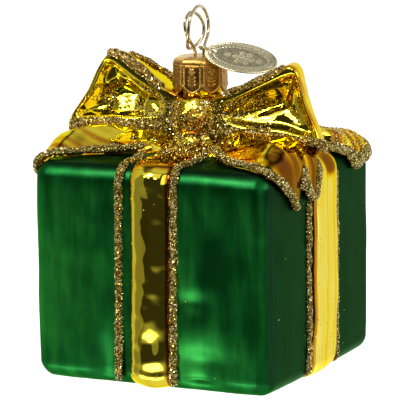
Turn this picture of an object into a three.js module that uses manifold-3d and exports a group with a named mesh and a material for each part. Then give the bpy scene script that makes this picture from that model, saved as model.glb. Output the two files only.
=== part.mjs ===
// Mould-blown glass gift box ornament with a metal crown cap, a two-turn wire
// hanger and an oval metal charm. Millimetres, +Z up, front face towards -Y.
// The origin is the middle of the flat underside, where the two ribbons cross.
import * as THREE from 'three';
import { mergeVertices } from 'three/addons/utils/BufferGeometryUtils.js';
import { RoundedBoxGeometry } from 'three/addons/geometries/RoundedBoxGeometry.js';
import Module from 'manifold-3d';

const wasm = await Module();
wasm.setup();

// ---------------------------------------------------------------- dimensions
const BOX_W = 65, BOX_D = 64, BOX_H = 56.5;   // lacquered box, X, Y, Z
const BOX_R = 4;                              // rounded box edges
const WALL = 0.8;                             // blown glass wall
const BAND_FX = 5.4;                          // half width, ribbon over the front and back
const BAND_SY = 6.0;                          // half width, ribbon over the two sides
const RELIEF = 1.8;                           // ribbon stands proud of the side faces
const RELIEF_TOP = 1.1;                       // and of the top face
const FOOT = 0.8;                             // and below the base: the part rests on it
const NECK = { x: -0.6, y: -0.4, r: 5.6, bore: 4.4, z0: 70, z1: 79.6 };
const KNOT = { x: 0, y: -2.4, z: 66.2, rx: 7.4, ry: 7.6, rz: 5.1 };
const LOOP_F = -6.5, LOOP_B = 5.0;            // front and back plane of the bow loops
const CAP = { r: 7.25, t: 0.5, top: 81.1, shoulder: 79.2, skirt: 73.6, petal: 2.0, turn: -82.7 };
const WIRE_R = 0.45;
const RING = { R: 2.2, r: 0.28, x: 1.735, y: -0.913, z: 82.52, tilt: 27.8 };
const TAG = { a: 9.78, b: 6.65, t: 0.6, hole: 1.15, inset: 1.85 };
const BEAD_W = 2.4, BEAD_H = 1.05;            // glued glitter line
const GAP = 0.3;                              // air left between separate pieces

// ---------------------------------------------------------------- materials
const mat = (color, roughness, metalness) => new THREE.MeshStandardMaterial({ color, roughness, metalness });
const GREEN = mat(0x0b5a24, 0.3, 0.7);
const GLITTER = mat(0x9a7a22, 0.65, 0.6);
const BRONZE = mat(0xa67a2c, 0.4, 0.9);
const BRASS = mat(0xb9a35c, 0.25, 1.0);
const PALE = mat(0xb0a67c, 0.35, 0.9);

// ---------------------------------------------------------------- helpers
function solid(geometry) {
  const g = geometry.clone();
  g.deleteAttribute('normal');
  g.deleteAttribute('uv');
  const m = mergeVertices(g, 1e-4);
  return new wasm.Manifold(new wasm.Mesh({
    numProp: 3,
    vertProperties: new Float32Array(m.attributes.position.array),
    triVerts: new Uint32Array(m.index.array),
  }));
}
function geometryOf(manifold) {
  const m = manifold.getMesh();
  const g = new THREE.BufferGeometry();
  g.setAttribute('position', new THREE.BufferAttribute(new Float32Array(m.vertProperties), 3));
  g.setIndex(new THREE.BufferAttribute(new Uint32Array(m.triVerts), 1));
  g.computeVertexNormals();
  return g;
}
const union = (list) => list.reduce((a, b) => a.add(b));
const polygon = (pts) => new THREE.Shape(pts.map((p) => new THREE.Vector2(p[0], p[1])));

// A prism drawn in (x, z) and running along Y, from y0 to y1.
function prismY(pts, y0, y1) {
  const g = new THREE.ExtrudeGeometry(polygon(pts), { depth: y1 - y0, bevelEnabled: false, curveSegments: 4 });
  g.rotateX(Math.PI / 2);
  g.translate(0, y1, 0);
  return g;
}
// A prism drawn in (y, z) and running along X, from x0 to x1.
function prismX(pts, x0, x1) {
  const g = new THREE.ExtrudeGeometry(polygon(pts), { depth: x1 - x0, bevelEnabled: false, curveSegments: 4 });
  g.rotateX(Math.PI / 2);
  g.rotateZ(Math.PI / 2);
  g.translate(x0, 0, 0);
  return g;
}
function cylinderZ(r, x, y, z0, z1, n = 24) {
  const g = new THREE.CylinderGeometry(r, r, z1 - z0, n);
  g.rotateX(Math.PI / 2);
  g.translate(x, y, (z0 + z1) / 2);
  return g;
}
// Outline of a rectangle with rounded corners, as points.
function roundRect(u0, u1, v0, v1, r, n = 3) {
  const out = [];
  const arc = (cu, cv, a0) => {
    for (let i = 0; i <= n; i++) {
      const a = a0 + (i / n) * (Math.PI / 2);
      out.push([cu + r * Math.cos(a), cv + r * Math.sin(a)]);
    }
  };
  arc(u1 - r, v1 - r, 0);
  arc(u0 + r, v1 - r, Math.PI / 2);
  arc(u0 + r, v0 + r, Math.PI);
  arc(u1 - r, v0 + r, 1.5 * Math.PI);
  return out;
}
const mirror = (pts) => pts.map((p) => [-p[0], ...p.slice(1)]).reverse();

// ---------------------------------------------------------------- ribbon tails
// On the top face a tail is a plate with its own height at each corner, and
// at the side face it turns down into a plate with cut ends.
const TAIL_FRONT_TOP = [
  [4, -4, 61.8], [9.5, -12.6, 59.4], [13.5, -18.6, 58.7], [19, -23, 58.4], [25, -26.4, 58.2], [31, -29.8, 57.4],
  [34.3, -28.2, 56.0], [34.3, -15, 57.6], [34.3, -1.4, 59.6], [20, -1.4, 61.6],
];
const TAIL_FRONT_DROP = [
  [-30.2, 56.2], [-27, 53.6], [-23.8, 50.6], [-19.9, 46.6], [-17.4, 44.6], [-15.5, 45.4], [-14.3, 49],
  [-13, 53.2], [-10.8, 49.2], [-7.6, 46.8], [-5, 46.7], [-2.6, 48.4], [-1.5, 51.5], [-1.4, 57], [-14, 57], [-29, 57],
];
const TAIL_BACK_TOP = [
  [4, 4, 61.6], [20, 3, 61.2], [34.3, 6.6, 58.4], [34.3, 20, 57.6], [34.3, 28.4, 56.0], [30.5, 30.4, 57.4],
  [23, 25, 58.4], [13, 15, 59.2],
];
const TAIL_BACK_DROP = [
  [6.6, 57], [12, 55.8], [16.8, 52.9], [18.8, 50.6], [21.6, 49.9], [24.8, 51.2], [27.6, 50.2], [29.4, 51.4],
  [30.0, 55.8], [29, 57], [18, 57],
];
// Bow loop outline in (x, z).
const LOOP_RIGHT = [
  [5, 57.5], [34.2, 57.5], [35.9, 59.3], [36.2, 60.8], [35.4, 63], [33.6, 66.8], [32.1, 70.6], [30.7, 75.4], [29.9, 78.4],
  [28.8, 79.8], [27, 80.3], [25.2, 79.7], [21.4, 77.4], [16, 74.9], [10, 72.4], [5, 69.9],
];
const LOOP_LEFT = [
  [5, 57.5], [34.4, 57.5], [36.6, 59.9], [36.9, 61.8], [36.2, 64], [33.6, 67.8], [31.1, 71.4], [29.1, 75.2], [27.1, 78.6],
  [25.2, 80.8], [23.6, 81.4], [21.6, 81], [17.6, 78.9], [14, 76.3], [10, 73.6], [5, 70.6],
];
// How far back a loop reaches: it narrows towards its outer fold.
const loopBack = (x) => LOOP_B - 5.2 * Math.pow(Math.min(1, Math.max(0, (Math.abs(x) - 14) / 23)), 1.4);

function plateTop(pts, g, bottom = 54.6) {
  const flat = polygon(pts);
  const geo = new THREE.ExtrudeGeometry(flat, { depth: 1, bevelEnabled: false });
  const p = geo.attributes.position;
  for (let i = 0; i < p.count; i++) {
    const x = p.getX(i), y = p.getY(i);
    const at = pts.find((q) => Math.hypot(q[0] - x, q[1] - y) < 1e-3);
    p.setZ(i, p.getZ(i) > 0.5 ? at[2] + g : bottom - g);
  }
  return geo;
}
function loopSolid(sign, g) {
  const pts = sign > 0 ? LOOP_RIGHT : mirror(LOOP_LEFT);
  const geo = prismY(pts, LOOP_F - g, LOOP_B + g);
  const p = geo.attributes.position;
  for (let i = 0; i < p.count; i++) {
    if (p.getY(i) > 0) p.setY(i, loopBack(p.getX(i)) + g);
    if (g > 0) {
      const x = p.getX(i), z = p.getZ(i);
      if (z > 62) p.setZ(i, z + g * 1.2);
      if (Math.abs(x) > 26) p.setX(i, x + sign * g * 1.2);
    }
  }
  return solid(geo);
}
function dish(sign, back, g) {
  const geo = new THREE.SphereGeometry(1, 16, 10);
  geo.scale(9.5 - g, (back ? 2.2 : 2.9) - g, 5.3 - g);
  geo.rotateY(-sign * 0.42);
  geo.translate(sign * 22.0, back ? LOOP_B - 1.6 : LOOP_F, 68.9);
  return solid(geo);
}
const plateDrop = (pts, sign, g) => {
  const geo = prismX(pts, 31, BOX_W / 2 + RELIEF + g);
  if (sign < 0) geo.applyMatrix4(new THREE.Matrix4().makeRotationZ(Math.PI));
  return geo;
};
const flipY = (pts) => pts.map((p) => [-p[0], ...p.slice(1)]).reverse();
// The outside of the glass, grown by g where a neighbour needs room.
function outside(g) {
  const hx = BOX_W / 2, hy = BOX_D / 2;
  const box = new RoundedBoxGeometry(BOX_W + 2 * g, BOX_D + 2 * g, BOX_H + 2 * g, 3, BOX_R);
  box.translate(0, 0, BOX_H / 2);
  const list = [solid(box)];
  list.push(solid(prismX(roundRect(-hy - RELIEF - g, hy + RELIEF + g, -FOOT - g, BOX_H + RELIEF_TOP + g, BOX_R + 1), -BAND_FX - g, BAND_FX + g)));
  list.push(solid(prismY(roundRect(-hx - RELIEF - g, hx + RELIEF + g, -FOOT - g, BOX_H + RELIEF_TOP + g, BOX_R + 1), -BAND_SY - g, BAND_SY + g)));
  for (const s of [1, -1]) {
    const m = (pts) => (s > 0 ? pts : mirror(pts));
    list.push(solid(plateTop(m(TAIL_FRONT_TOP), g)));
    list.push(solid(plateTop(m(TAIL_BACK_TOP), g)));
    // a half turn about Z puts a drop plate on the left face, so its outline is flipped first
    list.push(solid(plateDrop(s > 0 ? TAIL_FRONT_DROP : flipY(TAIL_FRONT_DROP), s, g)));
    list.push(solid(plateDrop(s > 0 ? TAIL_BACK_DROP : flipY(TAIL_BACK_DROP), s, g)));
    let loop = loopSolid(s, g);
    loop = loop.subtract(dish(s, false, g)).subtract(dish(s, true, g));
    list.push(loop);
  }
  const knot = new THREE.SphereGeometry(1, 20, 12);
  knot.rotateX(Math.PI / 2);
  knot.scale(KNOT.rx + g, KNOT.ry + g, KNOT.rz + g);
  knot.translate(KNOT.x, KNOT.y, KNOT.z);
  list.push(solid(knot));
  list.push(solid(cylinderZ(NECK.r + 1.2 + g, NECK.x, NECK.y, 55, 70.6)));
  return union(list)
    .subtract(solid(cylinderZ(7.95, NECK.x, NECK.y, 71.1 + g, 95)))
    .add(solid(cylinderZ(NECK.r + g, NECK.x, NECK.y, NECK.z0 - 2, NECK.z1 + g)));
}

// ---------------------------------------------------------------- glass shell
// The hollow follows the outside a wall's thickness in, and opens at the neck.
function hollow() {
  const room = new RoundedBoxGeometry(BOX_W - 2 * WALL, BOX_D - 2 * WALL, BOX_H - 2 * WALL, 3, BOX_R - WALL);
  room.translate(0, 0, BOX_H / 2);
  const inner = [solid(room), solid(cylinderZ(NECK.bore, NECK.x, NECK.y, 50, 90))];
  const hx = BOX_W / 2 + RELIEF - WALL, hy = BOX_D / 2 + RELIEF - WALL, low = WALL - FOOT, high = BOX_H + RELIEF_TOP - WALL;
  inner.push(solid(prismX(roundRect(-hy, hy, low, high, BOX_R), -BAND_FX + WALL, BAND_FX - WALL)));
  inner.push(solid(prismY(roundRect(-hx, hx, low, high, BOX_R), -BAND_SY + WALL, BAND_SY - WALL)));
  for (const s of [1, -1]) {
    const m = (pts) => (s > 0 ? pts : mirror(pts));
    inner.push(solid(prismY(m([[6.4, 50], [24, 50], [24, 58.2], [20, 59.6], [6.4, 59.6]]), LOOP_F + 1.4, 0.4)));
    for (const tail of [TAIL_FRONT_TOP, TAIL_BACK_TOP]) {
      const c = tail.reduce((a, q) => [a[0] + q[0] / tail.length, a[1] + q[1] / tail.length], [0, 0]);
      const small = tail.map((q) => [Math.min(30.8, c[0] + (q[0] - c[0]) * 0.8), c[1] + (q[1] - c[1]) * 0.8, Math.max(55.4, q[2] - 2)]);
      inner.push(solid(plateTop(m(small), 0, 52)));
    }
    const pts = (s > 0 ? LOOP_RIGHT : LOOP_LEFT).map(([x, z]) => [22 + (x - 22) * 0.84, 68.4 + (z - 68.4) * 0.82]);
    const geo = prismY(m(pts), LOOP_F + 1.2, LOOP_B - 1.2);
    const p = geo.attributes.position;
    for (let i = 0; i < p.count; i++) if (p.getY(i) > 0) p.setY(i, Math.max(-1.4, loopBack(p.getX(i)) - 1.4));
    inner.push(solid(geo).subtract(dish(s, false, -1.2)).subtract(dish(s, true, -1.2)));
  }
  const pipe = new THREE.CylinderGeometry(1.3, 1.3, 26, 10);
  pipe.rotateZ(Math.PI / 2);
  pipe.translate(0, -0.6, 66.6);
  inner.push(solid(pipe));
  return union(inner);
}
const glassShell = () => geometryOf(outside(0).subtract(hollow()));

// ---------------------------------------------------------------- crown cap
function crownCap() {
  const R = CAP.r, t = CAP.t;
  const profile = [
    [0, CAP.top], [5.2, CAP.top], [6.2, CAP.top - 0.28], [6.9, CAP.top - 0.85], [R, CAP.shoulder], [R, CAP.skirt],
    [R - t, CAP.skirt], [R - t, CAP.shoulder - 0.15], [5.9, CAP.top - 0.85], [5.0, CAP.top - t], [0, CAP.top - t],
  ].map(([r, z]) => new THREE.Vector2(r, z));
  const g = new THREE.LatheGeometry(profile.reverse(), 16);
  g.rotateX(Math.PI / 2);
  const p = g.attributes.position;
  for (let i = 0; i < p.count; i++) {
    const x = p.getX(i), y = p.getY(i), z = p.getZ(i);
    const k = Math.round(Math.atan2(y, x) / (Math.PI / 8));
    const mid = Math.abs(k) % 2 === 0;
    const f = mid ? Math.cos(Math.PI / 8) : 1;
    p.setXYZ(i, x * f, y * f, mid && z < CAP.skirt + 0.01 && Math.hypot(x, y) > 1 ? z - CAP.petal : z);
  }
  g.rotateZ(THREE.MathUtils.degToRad(CAP.turn));
  g.translate(NECK.x, NECK.y, 0);
  return geometryOf(solid(g)
    .subtract(solid(cylinderZ(0.85, LEG1[0], LEG1[1], 76, 90, 12)))
    .subtract(solid(cylinderZ(0.85, LEG2[0], LEG2[1], 76, 90, 12))));
}

// ---------------------------------------------------------------- hanger wire
// The two legs stand in the neck, spread a little, and leave the cap by two holes.
const LEG1 = [-1.8, -0.6], LEG2 = [0.5, -0.3];
const WIRE_PATH = [
  [-3.3, -1.1, 65.5], [-2.9, -0.95, 69], [-2.1, -0.7, 73.5], [-1.8, -0.6, 77], [-1.8, -0.6, 80.5], [-1.8, -0.75, 82],
  [-1.85, -1.7, 83.4], [-2.15, -3.2, 85.2], [-2.65, -4.5, 87.8], [-2.8, -4.3, 90.2], [-2.5, -1.9, 92.2], [-1.9, 1.6, 91.2],
  [-1.35, 3.5, 88.4], [-1.4, 3.2, 85.7], [-2.35, 1.3, 83.5], [-3.0, -0.9, 82.8], [-2.7, -3.3, 83.4], [-1.7, -5.1, 85.4],
  [-1.1, -5.8, 88.5], [-0.9, -4.9, 91.5], [-0.75, -1.2, 93.8], [-0.55, 2.4, 92.7], [-0.35, 4.2, 89.6], [-0.1, 3.6, 86.4],
  [0.3, 1.3, 84.5], [0.5, -0.1, 83], [0.5, -0.3, 81.2], [0.5, -0.3, 77], [0.8, -0.2, 73.5], [1.6, 0, 69], [2.1, 0.1, 65.5],
];
function tube(points, r, steps, sides) {
  const curve = new THREE.CatmullRomCurve3(points.map((p) => new THREE.Vector3(...p)), false, 'centripetal');
  const ring = [];
  for (let i = 0; i < sides; i++) ring.push([r * Math.cos((i / sides) * 2 * Math.PI), r * Math.sin((i / sides) * 2 * Math.PI)]);
  return new THREE.ExtrudeGeometry(polygon(ring), { steps, bevelEnabled: false, extrudePath: curve });
}

// ---------------------------------------------------------------- jump ring and charm
// The ring goes round the right leg and through the hole of the charm.
const U = new THREE.Vector3(-0.8956, 0.4448, 0);             // from the charm's hole to the leg
const PERP = new THREE.Vector3(-0.4448, -0.8956, 0);         // towards the viewer
function ringFrame() {
  const t = THREE.MathUtils.degToRad(RING.tilt);
  const w = PERP.clone().multiplyScalar(Math.cos(t)).add(new THREE.Vector3(0, 0, Math.sin(t)));
  const n = new THREE.Vector3().crossVectors(U, w);
  return new THREE.Matrix4().makeBasis(U, w, n).setPosition(RING.x, RING.y, RING.z);
}
const TAG_A = new THREE.Vector3(0.9759, 0.1127, -0.1869).normalize();   // long axis of the charm
const TAG_B0 = new THREE.Vector3(-0.0297, 0.917, 0.3979);
const TAG_N = new THREE.Vector3().crossVectors(TAG_A, TAG_B0).normalize();
const TAG_B = new THREE.Vector3().crossVectors(TAG_N, TAG_A);
const HOLE = new THREE.Vector3(RING.x, RING.y, RING.z).addScaledVector(U, -RING.R);
function tagGeometry() {
  const s = new THREE.Shape();
  s.absellipse(0, 0, TAG.a - 0.15, TAG.b - 0.15, 0, 2 * Math.PI, false);
  const h = new THREE.Path();
  h.absellipse(-TAG.a + TAG.inset, 0, TAG.hole, TAG.hole, 0, 2 * Math.PI, true);
  s.holes.push(h);
  const g = new THREE.ExtrudeGeometry(s, { depth: TAG.t - 0.3, curveSegments: 18, bevelEnabled: true, bevelThickness: 0.15, bevelSize: 0.15, bevelSegments: 1 });
  g.translate(0, 0, -(TAG.t - 0.3) / 2);
  return g;
}

// ---------------------------------------------------------------- glitter lines
// A bead follows points on the glass with the surface's own normal at each.
class SurfacePath extends THREE.Curve {
  constructor(points) {
    super();
    this.pts = points.map((p) => new THREE.Vector3(p[0], p[1], p[2]));
    this.nrm = points.map((p) => new THREE.Vector3(p[3], p[4], p[5]).normalize());
  }
  getPoint(t) {
    const f = t * (this.pts.length - 1), i = Math.min(this.pts.length - 2, Math.floor(f));
    return this.pts[i].clone().lerp(this.pts[i + 1], f - i);
  }
  getSpacedPoints() { return this.pts.map((p) => p.clone()); }
  computeFrenetFrames() {
    const n = this.pts.length, tangents = [], normals = [], binormals = [];
    for (let i = 0; i < n; i++) {
      const a = this.pts[Math.max(0, i - 1)], b = this.pts[Math.min(n - 1, i + 1)];
      const t = b.clone().sub(a).normalize();
      const m = this.nrm[i].clone().addScaledVector(t, -this.nrm[i].dot(t)).normalize();
      tangents.push(t);
      normals.push(m);
      binormals.push(new THREE.Vector3().crossVectors(t, m));
    }
    return { tangents, normals, binormals };
  }
}
const W2 = BEAD_W / 2;
const BEAD = [[-0.6, -W2], [0.35, -W2], [0.85, -W2 * 0.62], [BEAD_H, 0], [0.85, W2 * 0.62], [0.35, W2], [-0.6, W2]];
function bead(points) {
  const path = new SurfacePath(points);
  return solid(new THREE.ExtrudeGeometry(polygon(BEAD), { steps: points.length - 1, bevelEnabled: false, extrudePath: path }));
}
// Up the front face at x, over the top edge and inward to y1 on the top.
function faceRun(x, y1) {
  const y = -BOX_D / 2, H = BOX_H, r = BOX_R, c = [y + r, H - r], out = [];
  for (const z of [1.6, 18, 35, H - r]) out.push([x, y, z, 0, -1, 0]);
  for (const a of [22.5, 45, 67.5]) {
    const t = THREE.MathUtils.degToRad(a);
    out.push([x, c[0] - r * Math.cos(t), c[1] + r * Math.sin(t), 0, -Math.cos(t), Math.sin(t)]);
  }
  out.push([x, c[0], H, 0, 0, 1]);
  out.push([x, y1, H, 0, 0, 1]);
  return out;
}
// Up the right face at y, stopping at z1.
const sideRun = (y, z1) => [1.6, 16, 32, z1].map((z) => [BOX_W / 2, y, z, 1, 0, 0]);
const turnHalf = (pts) => pts.map(([x, y, z, a, b, c]) => [-x, -y, z, -a, -b, c]);
const flipX = (pts) => pts.map(([x, y, z, a, b, c]) => [-x, y, z, -a, b, c]).reverse();

const TF = BOX_W / 2 + RELIEF;                    // plane of the hanging tail ends
const tailFront = [
  [9.9, -11.6, 59.6, 0.1, -0.3, 1], [13.8, -17.6, 58.9, 0.1, -0.2, 1], [19.2, -22, 58.6, 0.1, -0.2, 1], [25.2, -25.4, 58.4, 0.2, -0.2, 1],
  [31.2, -28.2, 57.8, 0.5, -0.2, 1], [33.6, -27.4, 57.0, 1, -0.1, 1], [34.5, -26.6, 55.2, 1, 0, 0.35], [TF, -25.2, 53.0, 1, 0, 0], [TF, -22.4, 50.2, 1, 0, 0],
  [TF, -19.2, 47.0, 1, 0, 0], [TF, -17.2, 45.9, 1, 0, 0],
];
const tailFrontFork = [
  [TF, -15.4, 48.0, 1, 0, 0], [TF, -14.9, 51.5, 1, 0, 0], [TF, -13.2, 54.6, 1, 0, 0], [TF, -11.0, 52.0, 1, 0, 0], [TF, -9.4, 49.9, 1, 0, 0],
  [TF, -6.6, 48.2, 1, 0, 0], [TF, -3.6, 49.6, 1, 0, 0], [TF, -2.7, 53, 1, 0, 0], [TF, -2.7, 55.6, 1, 0, 0.1],
];
const tailBack = [
  [33.2, 8.0, 58.6, 1, 0, 1.4], [34.7, 10.4, 56.6, 1, 0, 0.6], [TF, 12.6, 54.6, 1, 0, 0], [TF, 16.2, 53.6, 1, 0, 0], [TF, 18.6, 51.8, 1, 0, 0], [TF, 21.6, 51.3, 1, 0, 0],
  [TF, 24.8, 52.3, 1, 0, 0], [TF, 27.4, 52.0, 1, 0, 0], [TF, 28.2, 53.6, 1, 0, 0], [34.6, 27.6, 55.4, 1, 0, 0.35], [33.5, 27.2, 57.1, 1, 0.1, 1], [30.6, 27.4, 58.0, 0.3, 0.2, 1],
  [22.6, 23.4, 58.8, 0, 0.2, 1], [13.2, 14, 59.6, 0, 0.3, 1],
];
// Bow edges: front top, front bottom and back top of the right loop.
const topRun = (run) => run.map(([x, z]) => [x, LOOP_F + 1.0, z, -0.35, -0.5, 0.9]);
const TOP_RIGHT = topRun([[8.6, 71.7], [13, 73.5], [18, 75.7], [22.6, 78], [26, 79.9]]);
const TOP_LEFT = topRun([[8.6, 72.6], [12, 74.8], [16, 77.6], [20, 80], [23.4, 81.2]]);
const bowBack = (run) => run.map(([x, z]) => [x, loopBack(x) - 1.0, z, -0.35, 0.4, 0.9]);
const BACK_SHORT = [[9.4, 72.1], [12, 73.2], [14.4, 74.2]];          // the charm lies beyond its end
const BACK_LONG = [[9.4, 73.1], [13, 75.5], [17.4, 78.7], [21.4, 80.8]];
const bowLow = [[9, 60.9], [16, 61.2], [24, 60.9], [31, 60.4], [34.6, 61.2]].map(([x, z]) => [x, LOOP_F, z, 0, -1, 0.15]);

function trims() {
  const room = outside(GAP - 0.05);
  const list = {};
  const put = (name, pts, extra) => {
    let s = bead(pts);
    if (extra) s = s.add(bead(extra));
    s = s.subtract(room);
    const parts = s.decompose();
    parts.sort((a, b) => b.volume() - a.volume());
    list[name] = parts[0];
  };
  put('trim_front_left', faceRun(-8.4, -17));
  put('trim_front_right', faceRun(7.1, -20));
  put('trim_back_left', turnHalf(faceRun(7.6, -19)));
  put('trim_back_right', turnHalf(faceRun(-7.6, -19)));
  put('trim_right_front', sideRun(-7.5, 45));
  put('trim_right_back', sideRun(7.5, 53.5));
  put('trim_left_front', flipX(sideRun(-7.5, 45)));
  put('trim_left_back', flipX(sideRun(7.5, 53.5)));
  put('trim_tail_front_right', tailFront);
  put('trim_tail_front_left', flipX(tailFront));
  put('trim_fork_front_right', tailFrontFork);
  put('trim_fork_front_left', flipX(tailFrontFork));
  put('trim_tail_back_right', tailBack);
  put('trim_tail_back_left', flipX(tailBack));
  put('trim_bow_right_top', TOP_RIGHT);
  put('trim_bow_left_top', flipX(TOP_LEFT));
  put('trim_bow_right_back', bowBack(BACK_SHORT));
  put('trim_bow_left_back', flipX(bowBack(BACK_LONG)));
  put('trim_bow_right_low', bowLow);
  put('trim_bow_left_low', flipX(bowLow));
  // crust of glitter over the front of the knot
  const crust = new THREE.SphereGeometry(1, 18, 12);
  crust.rotateX(Math.PI / 2);
  crust.scale(KNOT.rx + 1.1, KNOT.ry + 1.1, KNOT.rz + 0.7);
  crust.translate(KNOT.x, KNOT.y, KNOT.z);
  const front = prismY([[-6.6, 62.2], [6.6, 62.2], [6.6, 70.2], [-6.6, 70.2]], -14, -7.4);
  const k = solid(crust).subtract(room).intersect(solid(front)).decompose();
  k.sort((a, b) => b.volume() - a.volume());
  list.trim_knot = k[0];
  // separate glitter lines keep their distance where two of them meet
  const names = Object.keys(list);
  for (let i = 0; i < names.length; i++) {
    for (let j = i + 1; j < names.length; j++) {
      const over = list[names[i]].intersect(list[names[j]]);
      if (over.volume() > 1e-6) {
        const b = over.boundingBox();
        const c = new THREE.BoxGeometry(b.max[0] - b.min[0] + 0.5, b.max[1] - b.min[1] + 0.5, b.max[2] - b.min[2] + 0.5);
        c.translate((b.max[0] + b.min[0]) / 2, (b.max[1] + b.min[1]) / 2, (b.max[2] + b.min[2]) / 2);
        const d = list[names[j]].subtract(solid(c)).decompose();
        d.sort((p, q) => q.volume() - p.volume());
        list[names[j]] = d[0];
      }
    }
  }
  return list;
}

// ---------------------------------------------------------------- assembly
const ornament = new THREE.Group();
const add = (parent, name, geometry, material) => {
  const m = new THREE.Mesh(geometry, material);
  m.name = name;
  parent.add(m);
  return m;
};
add(ornament, 'glass_shell', glassShell(), GREEN);
for (const [name, s] of Object.entries(trims())) add(ornament, name, geometryOf(s), GLITTER);

const hardware = new THREE.Group();
add(hardware, 'cap', crownCap(), BRONZE);
add(hardware, 'hanger_wire', tube(WIRE_PATH, WIRE_R, 74, 8), BRASS);
const ring = add(hardware, 'jump_ring', new THREE.TorusGeometry(RING.R, RING.r, 8, 24), BRASS);
ring.applyMatrix4(ringFrame());
const tag = add(hardware, 'tag', tagGeometry(), PALE);
tag.applyMatrix4(new THREE.Matrix4().makeBasis(TAG_A, TAG_B, TAG_N)
  .setPosition(HOLE.clone().addScaledVector(TAG_A, TAG.a - TAG.inset)));
ornament.add(hardware);

ornament.position.z = FOOT;                       // the ribbons' underside is z = 0
export default ornament;
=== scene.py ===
# A mould-blown glass gift box ornament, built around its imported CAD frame.
# Shapes are worked out in millimetres in the box's own frame, whose zero height
# is the green base; the ribbons reach FOOT below it, where the model's floor is.
import bpy
import math
import numpy as np
from mathutils import Matrix, Vector

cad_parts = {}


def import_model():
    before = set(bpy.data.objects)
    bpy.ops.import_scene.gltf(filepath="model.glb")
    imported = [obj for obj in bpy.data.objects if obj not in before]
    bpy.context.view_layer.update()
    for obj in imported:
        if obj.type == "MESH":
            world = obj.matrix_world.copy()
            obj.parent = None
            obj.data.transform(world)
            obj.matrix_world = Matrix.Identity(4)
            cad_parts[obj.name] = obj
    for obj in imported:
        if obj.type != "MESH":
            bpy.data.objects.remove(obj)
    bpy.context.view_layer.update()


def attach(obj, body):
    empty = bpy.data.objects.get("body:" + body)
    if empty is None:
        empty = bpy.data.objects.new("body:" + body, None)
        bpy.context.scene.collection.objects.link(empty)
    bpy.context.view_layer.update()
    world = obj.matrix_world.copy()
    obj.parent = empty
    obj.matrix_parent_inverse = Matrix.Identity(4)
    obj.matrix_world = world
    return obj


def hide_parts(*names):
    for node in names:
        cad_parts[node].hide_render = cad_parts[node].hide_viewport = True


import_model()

MM, FOOT = 0.001, 0.8
HX, HY, H, R = 33.5, 33.0, 56.6, 4.0          # half width, half depth, height, edge radius
Z0 = -0.5                                      # underside of the green glass between the ribbons
ROOT = math.pi * R / 2                         # arc length of a rounded edge


# ------------------------------------------------------------------ mesh helpers
def mesh_object(name, V, faces, mat, smooth=True, layers=None):
    """V is in millimetres in the box frame; faces is a list of (n, k) index arrays."""
    V = np.array(V, dtype=np.float64)
    V[:, 2] += FOOT
    V *= MM
    faces = [np.asarray(f, dtype=np.int32) for f in faces if len(f)]
    sizes = np.concatenate([np.full(len(f), f.shape[1]) for f in faces])
    starts = np.concatenate([[0], np.cumsum(sizes)[:-1]]).astype(np.int32)
    me = bpy.data.meshes.new(name)
    me.vertices.add(len(V))
    me.vertices.foreach_set("co", V.astype(np.float32).ravel())
    me.loops.add(int(sizes.sum()))
    me.loops.foreach_set("vertex_index", np.concatenate([f.ravel() for f in faces]))
    me.polygons.add(len(sizes))
    me.polygons.foreach_set("loop_start", starts)
    me.polygons.foreach_set("use_smooth", np.full(len(sizes), bool(smooth)))
    me.update(calc_edges=True)
    me.validate()
    for key, values in (layers or {}).items():
        a = me.attributes.new(key, "FLOAT", "POINT")
        a.data.foreach_set("value", np.asarray(values, dtype=np.float32))
    ob = bpy.data.objects.new(name, me)
    bpy.context.collection.objects.link(ob)
    me.materials.append(mat)
    return ob


def grid_faces(n, m, wrap_n=False, wrap_m=False, flip=False):
    """Quads over an n by m grid of vertices stored row by row."""
    i = np.arange(n if wrap_n else n - 1)
    j = np.arange(m if wrap_m else m - 1)
    I, J = np.meshgrid(i, j, indexing="ij")
    I, J = I.ravel(), J.ravel()
    I2, J2 = (I + 1) % n, (J + 1) % m
    q = np.stack([I * m + J, I2 * m + J, I2 * m + J2, I * m + J2], 1)
    return q[:, ::-1] if flip else q


def waves(seed, n, short, long_):
    """Smooth noise of unit size in three dimensions, wavelengths in mm."""
    rng = np.random.default_rng(seed)
    k = rng.normal(size=(n, 3))
    k /= np.linalg.norm(k, axis=1)[:, None]
    k *= (2 * np.pi / np.exp(rng.uniform(np.log(short), np.log(long_), n)))[:, None]
    ph = rng.uniform(0, 2 * np.pi, n)
    def f(P):
        P = np.asarray(P)
        out = np.zeros(len(P))
        for kk, p in zip(k, ph):
            out += np.sin(P @ kk + p)
        return out / math.sqrt(n / 2)
    return f


def smoothstep(a, b, x):
    t = np.clip((x - a) / (b - a), 0, 1)
    return t * t * (3 - 2 * t)


def smin(a, b, k):
    h = np.maximum(k - np.abs(a - b), 0) / k
    return np.minimum(a, b) - h * h * k * 0.25


def smax(a, b, k):
    return -smin(-a, -b, k)


def poly_sd(px, py, poly):
    """Signed distance to a closed polygon, negative inside."""
    d2 = np.full(px.shape, 1e9)
    inside = np.zeros(px.shape, bool)
    n = len(poly)
    for i in range(n):
        (x0, y0), (x1, y1) = poly[i][:2], poly[(i + 1) % n][:2]
        ex, ey = x1 - x0, y1 - y0
        wx, wy = px - x0, py - y0
        t = np.clip((wx * ex + wy * ey) / (ex * ex + ey * ey), 0, 1)
        d2 = np.minimum(d2, (wx - ex * t) ** 2 + (wy - ey * t) ** 2)
        if y0 != y1:
            c = (y0 <= py) != (y1 <= py)
            inside ^= c & (px < x0 + (py - y0) / (y1 - y0) * ex)
    return np.where(inside, -1, 1) * np.sqrt(d2)


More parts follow.
